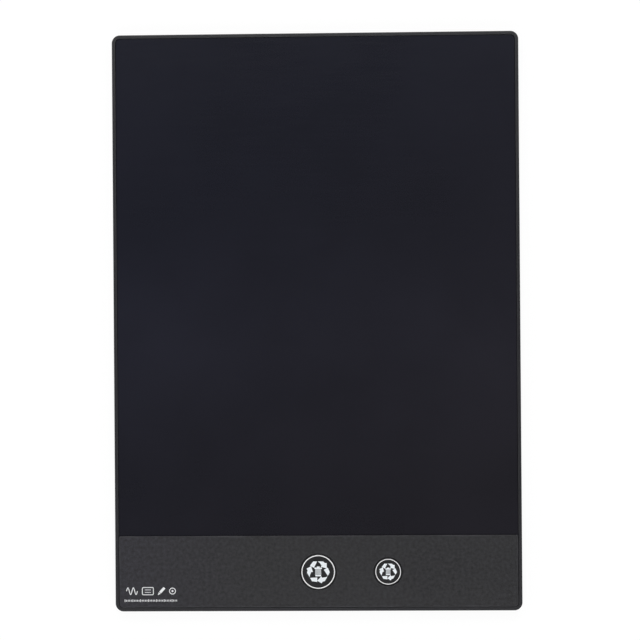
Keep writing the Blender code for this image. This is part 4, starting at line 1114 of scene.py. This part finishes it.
@dataclass
class EraseKey:
    """A round key with a printed ring, and a bin among folded arrows, whose places are in millimetres."""

    node: str
    ring_radius: float
    ring_line: float
    sign_share: float
    finish: MouldedPlastic = MouldedPlastic(
        "key_satin_black", tone(29, 29, 31), mottle=0.2, grain_depth=0.006 * MM, gloss=(0.32, 0.42),
        patch_size=9 * MM,
    )
    rounding: Softening = Softening(0.08 * MM, 2, sharpest=20.0, heights=(5.5 * MM, 5.3 * MM))
    ring_ink: Ink = Ink("ring_white_ink", tone(251, 251, 252))
    arrow_ink: Ink = Ink("arrow_pale_ink", tone(244, 249, 253))
    bin_ink: Ink = Ink("bin_grey_ink", tone(196, 200, 203))
    tail: tuple[Pair, ...] = ((-3.55, 2.75), (-2.15, 4.55), (-0.45, 4.55), (-1.85, 1.75))
    head: tuple[Pair, ...] = (
        (-0.12, 4.55), (2.15, 4.55), (2.85, 3.85), (3.7, 3.85), (3.7, 1.55), (1.15, 2.2), (1.45, 2.85),
        (0.55, 4.0),
    )
    turn_centre: Pair = (0.05, 0.1)
    plates: tuple[tuple[float, Pair], ...] = (
        (2.12, (0.62, 0.24)), (1.58, (1.62, 0.32)), (-1.60, (1.25, 0.30)),
    )
    stave_count: int = 5
    stave_middle: float = -0.02
    stave_pitch: float = 0.52
    stave_size: Pair = (0.46, 2.5)
    stave_lean: float = 0.8

    def build(self) -> None:
        """Moulds the key and prints the ring, the arrows, the bin's lid and foot, and its staves."""
        solid, unit = Solid(self.node), MM * self.sign_share
        solid.skin("moulded", self.finish, self.rounding)
        x, y = solid.centre
        ring, arrows, lid, staves = jobs = [PrintJob(f"{self.node}_{part}", ink, solid) for part, ink in (
            ("ring", self.ring_ink), ("arrows", self.arrow_ink), ("bin_lid", self.arrow_ink),
            ("bin_staves", self.bin_ink),
        )]
        circle = arc((x, y), self.ring_radius - self.ring_line / 2, steps=120)
        ring.stroke(circle, self.ring_line, closed=True)
        for third in range(3):
            for outline in (self.tail, self.head):
                corners = turned(outline, -third * math.tau / 3, self.turn_centre)
                arrows.plate([(x + corner.x * unit, y + corner.y * unit) for corner in corners])
        for middle, half in self.plates:
            lid.plate(rectangle((x, y + middle * unit), (half[0] * unit, half[1] * unit)))
        staves.bars(
            self.stave_count, (x, y + self.stave_middle * unit), (self.stave_pitch * unit, 0.0),
            (self.stave_size[0] * unit, self.stave_size[1] * unit), lean=math.radians(self.stave_lean),
        )
        for job in jobs:
            job.lay()


@dataclass
class Screen:
    """The writing film and the layers that lie under it."""

    film: WritingFilm = WritingFilm(
        "writing_film_clear", tone(29, 30, 40), tone(32, 31, 37), (-95 * MM, 75 * MM),
    )
    rounding: Softening = Softening(0.05 * MM, 2, heights=(5.0 * MM,))
    layers: tuple[tuple[str, FilmStock], ...] = (
        ("rear_electrode_film", FilmStock("electrode_film_dark", tone(40, 42, 48), 0.25)),
        ("black_backing_film", FilmStock("backing_film_black", tone(20, 20, 22), 0.4)),
        ("film_bond_tape", FilmStock("bond_tape_white", tone(214, 214, 208), 0.5)),
        ("backing_board", FilmStock("board_grey", tone(96, 97, 99), 0.55, grain_size=1.6 * MM)),
    )

    def build(self) -> None:
        """Lays the writing film and finishes the layers."""
        Solid("writing_film").skin("cut", self.film, self.rounding)
        coat(**dict(self.layers))


@dataclass
class Screw:
    """A small self-tapping screw: a softened core with a wound thread."""

    node: str
    core: float
    head_up: bool
    colour: Colour = tone(150, 150, 154)
    rounding: Softening = Softening(0.04 * MM, 2, sharpest=25.0)
    head_height: float = 0.9 * MM
    tip_height: float = 0.35 * MM
    pitch: float = 0.55 * MM
    ridge: float = 0.16 * MM

    def build(self) -> None:
        """Turns the core and winds the thread on it."""
        solid = Solid(self.node)
        steel = WorkedMetal(f"{self.node}_steel", self.colour, Working.TURNED, solid.centre, gloss=0.24)
        solid.skin("turned", steel, self.rounding)
        low = solid.low.z + (self.tip_height if self.head_up else self.head_height)
        tall = solid.high.z - (self.head_height if self.head_up else self.tip_height) - low
        foot = bpy.data.meshes.new("screw_foot")
        foot.from_pydata([(*solid.centre, low)], [], [])
        mesh = recipe(ScrewThread).run(
            foot, turns=tall / self.pitch, radius=self.core, height=tall, ridge=self.ridge,
            material=steel.material,
        )
        solid.carry(f"{self.node}_thread", merged("thread", [mesh]), steel)


@dataclass
class BatteryDoor:
    """The battery door with its screw and its foam pad."""

    finish: MouldedPlastic = RearCase.finish
    rounding: Softening = Softening(0.08 * MM, 2)
    pad: FoamPad = FoamPad("pad_grey_foam", tone(70, 70, 72))

    def build(self) -> None:
        """Moulds the door, turns its screw and finishes the pad."""
        Solid("battery_door").skin("moulded", self.finish, self.rounding)
        Screw("battery_door_screw", core=0.75 * MM, head_up=False).build()
        coat(battery_foam_pad=self.pad)


@dataclass
class LockSlider:
    """The slide on the back that switches the keys off, and the switch that it moves."""

    finish: MouldedPlastic = MouldedPlastic(
        "slider_grey_grain", tone(86, 87, 90), mottle_size=0.3 * MM, patch_size=5 * MM,
    )
    rounding: Softening = Softening(0.06 * MM, 2)
    lever: MouldedPlastic = MouldedPlastic("lever_white", tone(205, 205, 200), patch_size=2 * MM)
    shell: WorkedMetal = WorkedMetal("switch_tinned_shell", tone(176, 176, 172), gloss=0.3)

    def build(self) -> None:
        """Moulds the slider and finishes the switch."""
        Solid("lock_slider").skin("moulded", self.finish, self.rounding)
        coat(lock_switch_lever=self.lever, lock_switch_body=self.shell)


@dataclass
class CoinCell:
    """The coin cell in its pocket and the two springs that reach it."""

    steel: Colour = tone(186, 187, 188)
    rounding: Softening = Softening(0.06 * MM, 2)
    gasket: MouldedPlastic = MouldedPlastic("gasket_white", tone(200, 200, 194), patch_size=3 * MM)
    paste: FiredBody = FiredBody("electrode_paste", tone(58, 58, 60), tone(92, 92, 94))
    spring: WorkedMetal = WorkedMetal("contact_nickel_strip", tone(200, 196, 186), gloss=0.24)
    mark_ink: Ink = Ink("cell_mark_etch", tone(120, 121, 123))
    mark_corners: tuple[Pair, ...] = ((0.3 * MM, 0.3 * MM), (0.3 * MM, 1.6 * MM), (-0.3 * MM, 1.6 * MM))
    mark_shift: float = 0.3

    def build(self) -> None:
        """Finishes the cell's parts, with round lines on its can and a plus sign on its face."""
        solid = Solid("coin_cell_can")
        can = WorkedMetal(
            "cell_can_steel", self.steel, Working.TURNED, solid.centre, gloss=0.24, line_size=0.3 * MM,
            stain_size=8 * MM, stain=0.06,
        )
        solid.skin("drawn", can, self.rounding)
        plus = PrintJob("coin_cell_plus", self.mark_ink, solid, upward=False)
        middle = Vector(solid.centre) + Vector((0.0, (solid.high.y - solid.low.y) * self.mark_shift))
        plus.plate([
            middle + corner for step in range(4) for corner in turned(self.mark_corners, step * math.tau / 4)
        ])
        plus.lay()
        cap = WorkedMetal(
            "cell_cap_steel", self.steel, Working.TURNED, solid.centre, gloss=0.26, line_size=0.3 * MM,
        )
        coat(
            coin_cell_cap=cap, coin_cell_gasket=self.gasket, coin_cell_electrodes=self.paste,
            positive_contact=self.spring, negative_contact=self.spring,
        )


@dataclass
class CircuitBoard:
    """The board behind the strip: its parts, leads, screws and two snap domes."""

    laminate: Laminate = Laminate("board_green_mask", tone(26, 74, 48), tone(48, 104, 62))
    epoxy: FiredBody = FiredBody("chip_black_epoxy", tone(34, 34, 36), tone(60, 60, 62))
    ferrite: FiredBody = FiredBody("inductor_ferrite", tone(66, 66, 70), tone(98, 98, 102))
    ceramic: FiredBody = FiredBody("capacitor_tan", tone(158, 128, 92), tone(178, 150, 116), gloss=0.4)
    foil: WorkedMetal = WorkedMetal("lead_copper_foil", tone(190, 122, 84), gloss=0.3)
    board_rounding: Softening = Softening(0.05 * MM, 1)
    chip_rounding: Softening = Softening(0.03 * MM, 1)
    dome_rounding: Softening = Softening(0.02 * MM, 1)
    dome_steel: Colour = tone(196, 196, 194)
    dome_keep: float = 0.1
    domes: tuple[tuple[str, str], ...] = (
        ("erase_dome", "erase_button_press"), ("partial_erase_dome", "partial_erase_button_press"),
    )

    def build(self) -> None:
        """Finishes the board and its parts and the domes, and turns the three screws."""
        Solid("circuit_board").skin("routed", self.laminate, self.board_rounding)
        Solid("controller_chip").skin("moulded", self.epoxy, self.chip_rounding)
        coat(
            boost_inductor=self.ferrite, storage_capacitor=self.ceramic, front_electrode_lead=self.foil,
            rear_electrode_lead=self.foil,
        )
        for node, press in self.domes:
            dome = Solid(node)
            steel = WorkedMetal(f"{node}_steel", self.dome_steel, Working.TURNED, dome.centre, gloss=0.2)
            snap = dome.skin("sprung", steel, self.dome_rounding)
            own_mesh(snap)
        for number in (1, 2, 3):
            Screw(f"board_screw_{number}", core=0.70 * MM, head_up=True).build()


@dataclass
class Studio:
    """The white floor, the light of the room and the lamps."""

    floor_half: float = 4.0
    floor_height: float = -0.1 * MM
    paint: float = 0.10
    glow: float = 0.92
    glow_spread: Pair = (0.22, 0.50)
    bounce: float = 0.8
    sky: tuple[Pair, ...] = ((0.0, 1.0), (0.25, 1.0), (0.60, 0.30), (0.85, 0.06), (1.0, 0.06))
    lamps: tuple[tuple[str, tuple[float, float, float], Pair, float], ...] = (
        ("back_lamp", (0.0, 0.75, 0.85), (1.0, 0.5), 5.6),
        ("front_lamp", (0.0, -0.80, 0.80), (1.0, 0.5), 3.9),
        ("left_lamp", (-0.90, 0.0, 0.70), (0.5, 0.7), 1.35),
        ("right_lamp", (0.90, 0.0, 0.70), (0.5, 0.7), 1.35),
        ("under_front_lamp", (0.0, -0.50, -0.80), (0.8, 0.5), 3.4),
        ("under_back_lamp", (0.40, 0.50, -0.80), (0.8, 0.5), 3.4),
    )

    def build(self) -> None:
        """Sets the colour handling and builds floor, room and lamps."""
        bpy.context.scene.view_settings.view_transform = "Standard"
        self.room()
        self.floor()
        self.hang()

    def room(self) -> None:
        """Makes a room that is white to the camera and shades towards the ceiling for everything else."""
        world = bpy.data.worlds.new("room")
        bpy.context.scene.world = world
        world.use_nodes = True
        graph = Graph(world.node_tree)
        graph.tree.nodes.clear()
        direction = graph.add("ShaderNodeTexCoord").outputs["Generated"]
        ramp = graph.add("ShaderNodeValToRGB", {"Fac": graph.math("ABSOLUTE", graph.parts(direction)["Z"])})
        stops = ramp.color_ramp.elements
        while len(stops) < len(self.sky):
            stops.new(0.5)
        for stop, (height, level) in zip(stops, self.sky):
            stop.position = height
            stop.color = faded(WHITE, level)
        shade = graph.out("ShaderNodeBackground", {"Color": ramp.outputs[0]})
        white = graph.out("ShaderNodeBackground", {"Color": WHITE})
        seen = graph.add("ShaderNodeLightPath").outputs["Is Camera Ray"]
        mix = graph.out("ShaderNodeMixShader", {0: seen, 1: shade, 2: white})
        graph.add("ShaderNodeOutputWorld", {"Surface": mix})

    def floor(self) -> None:
        """Lays the floor, which glows white where it is seen, keeps soft shadows and is clear from below."""
        mesh = bpy.data.meshes.new("studio_floor")
        corners = rectangle((0.0, 0.0), (self.floor_half, self.floor_half))
        mesh.from_pydata([(*corner, self.floor_height) for corner in corners], [], [(0, 1, 2, 3)])
        material = bpy.data.materials.new("studio_white")
        material.use_nodes = True
        graph = Graph(material.node_tree)
        graph.tree.nodes.clear()
        away = graph.vector("LENGTH", graph.add("ShaderNodeTexCoord").outputs["Object"])
        far = graph.span(away, self.glow_spread, (0.0, 1.0))
        paint = graph.out("ShaderNodeBsdfDiffuse", {"Color": faded(WHITE, self.paint)})
        matt = graph.out("ShaderNodeBsdfDiffuse", {"Color": faded(WHITE, self.bounce)})
        glow = graph.out("ShaderNodeEmission", {"Strength": self.glow})
        white = graph.out("ShaderNodeEmission", {"Strength": 1.0})
        near = graph.out("ShaderNodeAddShader", {0: paint, 1: glow})
        seen = graph.out("ShaderNodeMixShader", {0: far, 1: near, 2: white})
        ray = graph.add("ShaderNodeLightPath").outputs
        looks = graph.math("MAXIMUM", ray["Is Camera Ray"], ray["Is Glossy Ray"], ray["Is Transmission Ray"])
        top = graph.out("ShaderNodeMixShader", {0: looks, 1: matt, 2: seen})
        under = graph.add("ShaderNodeNewGeometry").outputs["Backfacing"]
        passes = graph.math("MAXIMUM", under, ray["Is Shadow Ray"])
        clear = graph.out("ShaderNodeBsdfTransparent")
        mix = graph.out("ShaderNodeMixShader", {0: passes, 1: top, 2: clear})
        graph.add("ShaderNodeOutputMaterial", {"Surface": mix})
        mesh.materials.append(material)
        ground = stand("studio_floor", mesh)

    def hang(self) -> None:
        """Hangs the soft lamps, aimed at the middle of the tablet."""
        for name, spot, size, watts in self.lamps:
            data = bpy.data.lights.new(name, "AREA")
            data.shape, data.energy = "RECTANGLE", watts
            data.size, data.size_y = size
            lamp = stand(name, data)
            lamp.location = spot
            lamp.rotation_euler = (-Vector(spot)).to_track_quat("-Z", "Y").to_euler()
            LOG.info("%s hangs at %s with %.1f W", name, spot, watts)


@dataclass
class PhotoCamera:
    """The photograph's camera: nearly straight above, turned and tilted a little."""

    distance: float = 0.600
    aim: Pair = (1.45 * MM, 0.83 * MM)
    turns: tuple[tuple[str, float], ...] = (("Y", 1.247), ("X", 0.090), ("Z", -0.420))
    lens: float = 77.36
    sensor: float = 36.0

    def build(self) -> None:
        """Makes the camera and gives it to the scene."""
        data = bpy.data.cameras.new("photo_camera")
        data.lens, data.sensor_width = self.lens, self.sensor
        place_at = Matrix.Translation((*self.aim, 0.0))
        for axis, degrees in self.turns:
            place_at @= Matrix.Rotation(math.radians(degrees), 4, axis)
        camera = stand("photo_camera", data)
        camera.matrix_world = place_at @ Matrix.Translation((0, 0, self.distance))
        bpy.context.scene.camera = camera
        LOG.info("the camera stands %.2f m away behind a %.1f mm lens", self.distance, self.lens)


def main() -> None:
    """Builds the tablet's pieces, the studio and the camera."""
    logging.basicConfig(level=logging.INFO, format="%(name)s: %(message)s")
    for assembly in (
        PhotoCamera(),
        RearCase(),
        ControlPanel(),
        EraseKey("erase_button", ring_radius=7.24 * MM, ring_line=0.40 * MM, sign_share=1.0),
        EraseKey("partial_erase_button", ring_radius=5.50 * MM, ring_line=0.31 * MM, sign_share=0.762),
        Screen(),
        BatteryDoor(),
        LockSlider(),
        CoinCell(),
        CircuitBoard(),
        Studio(),
    ):
        assembly.build()


if __name__ == "__main__":
    main()
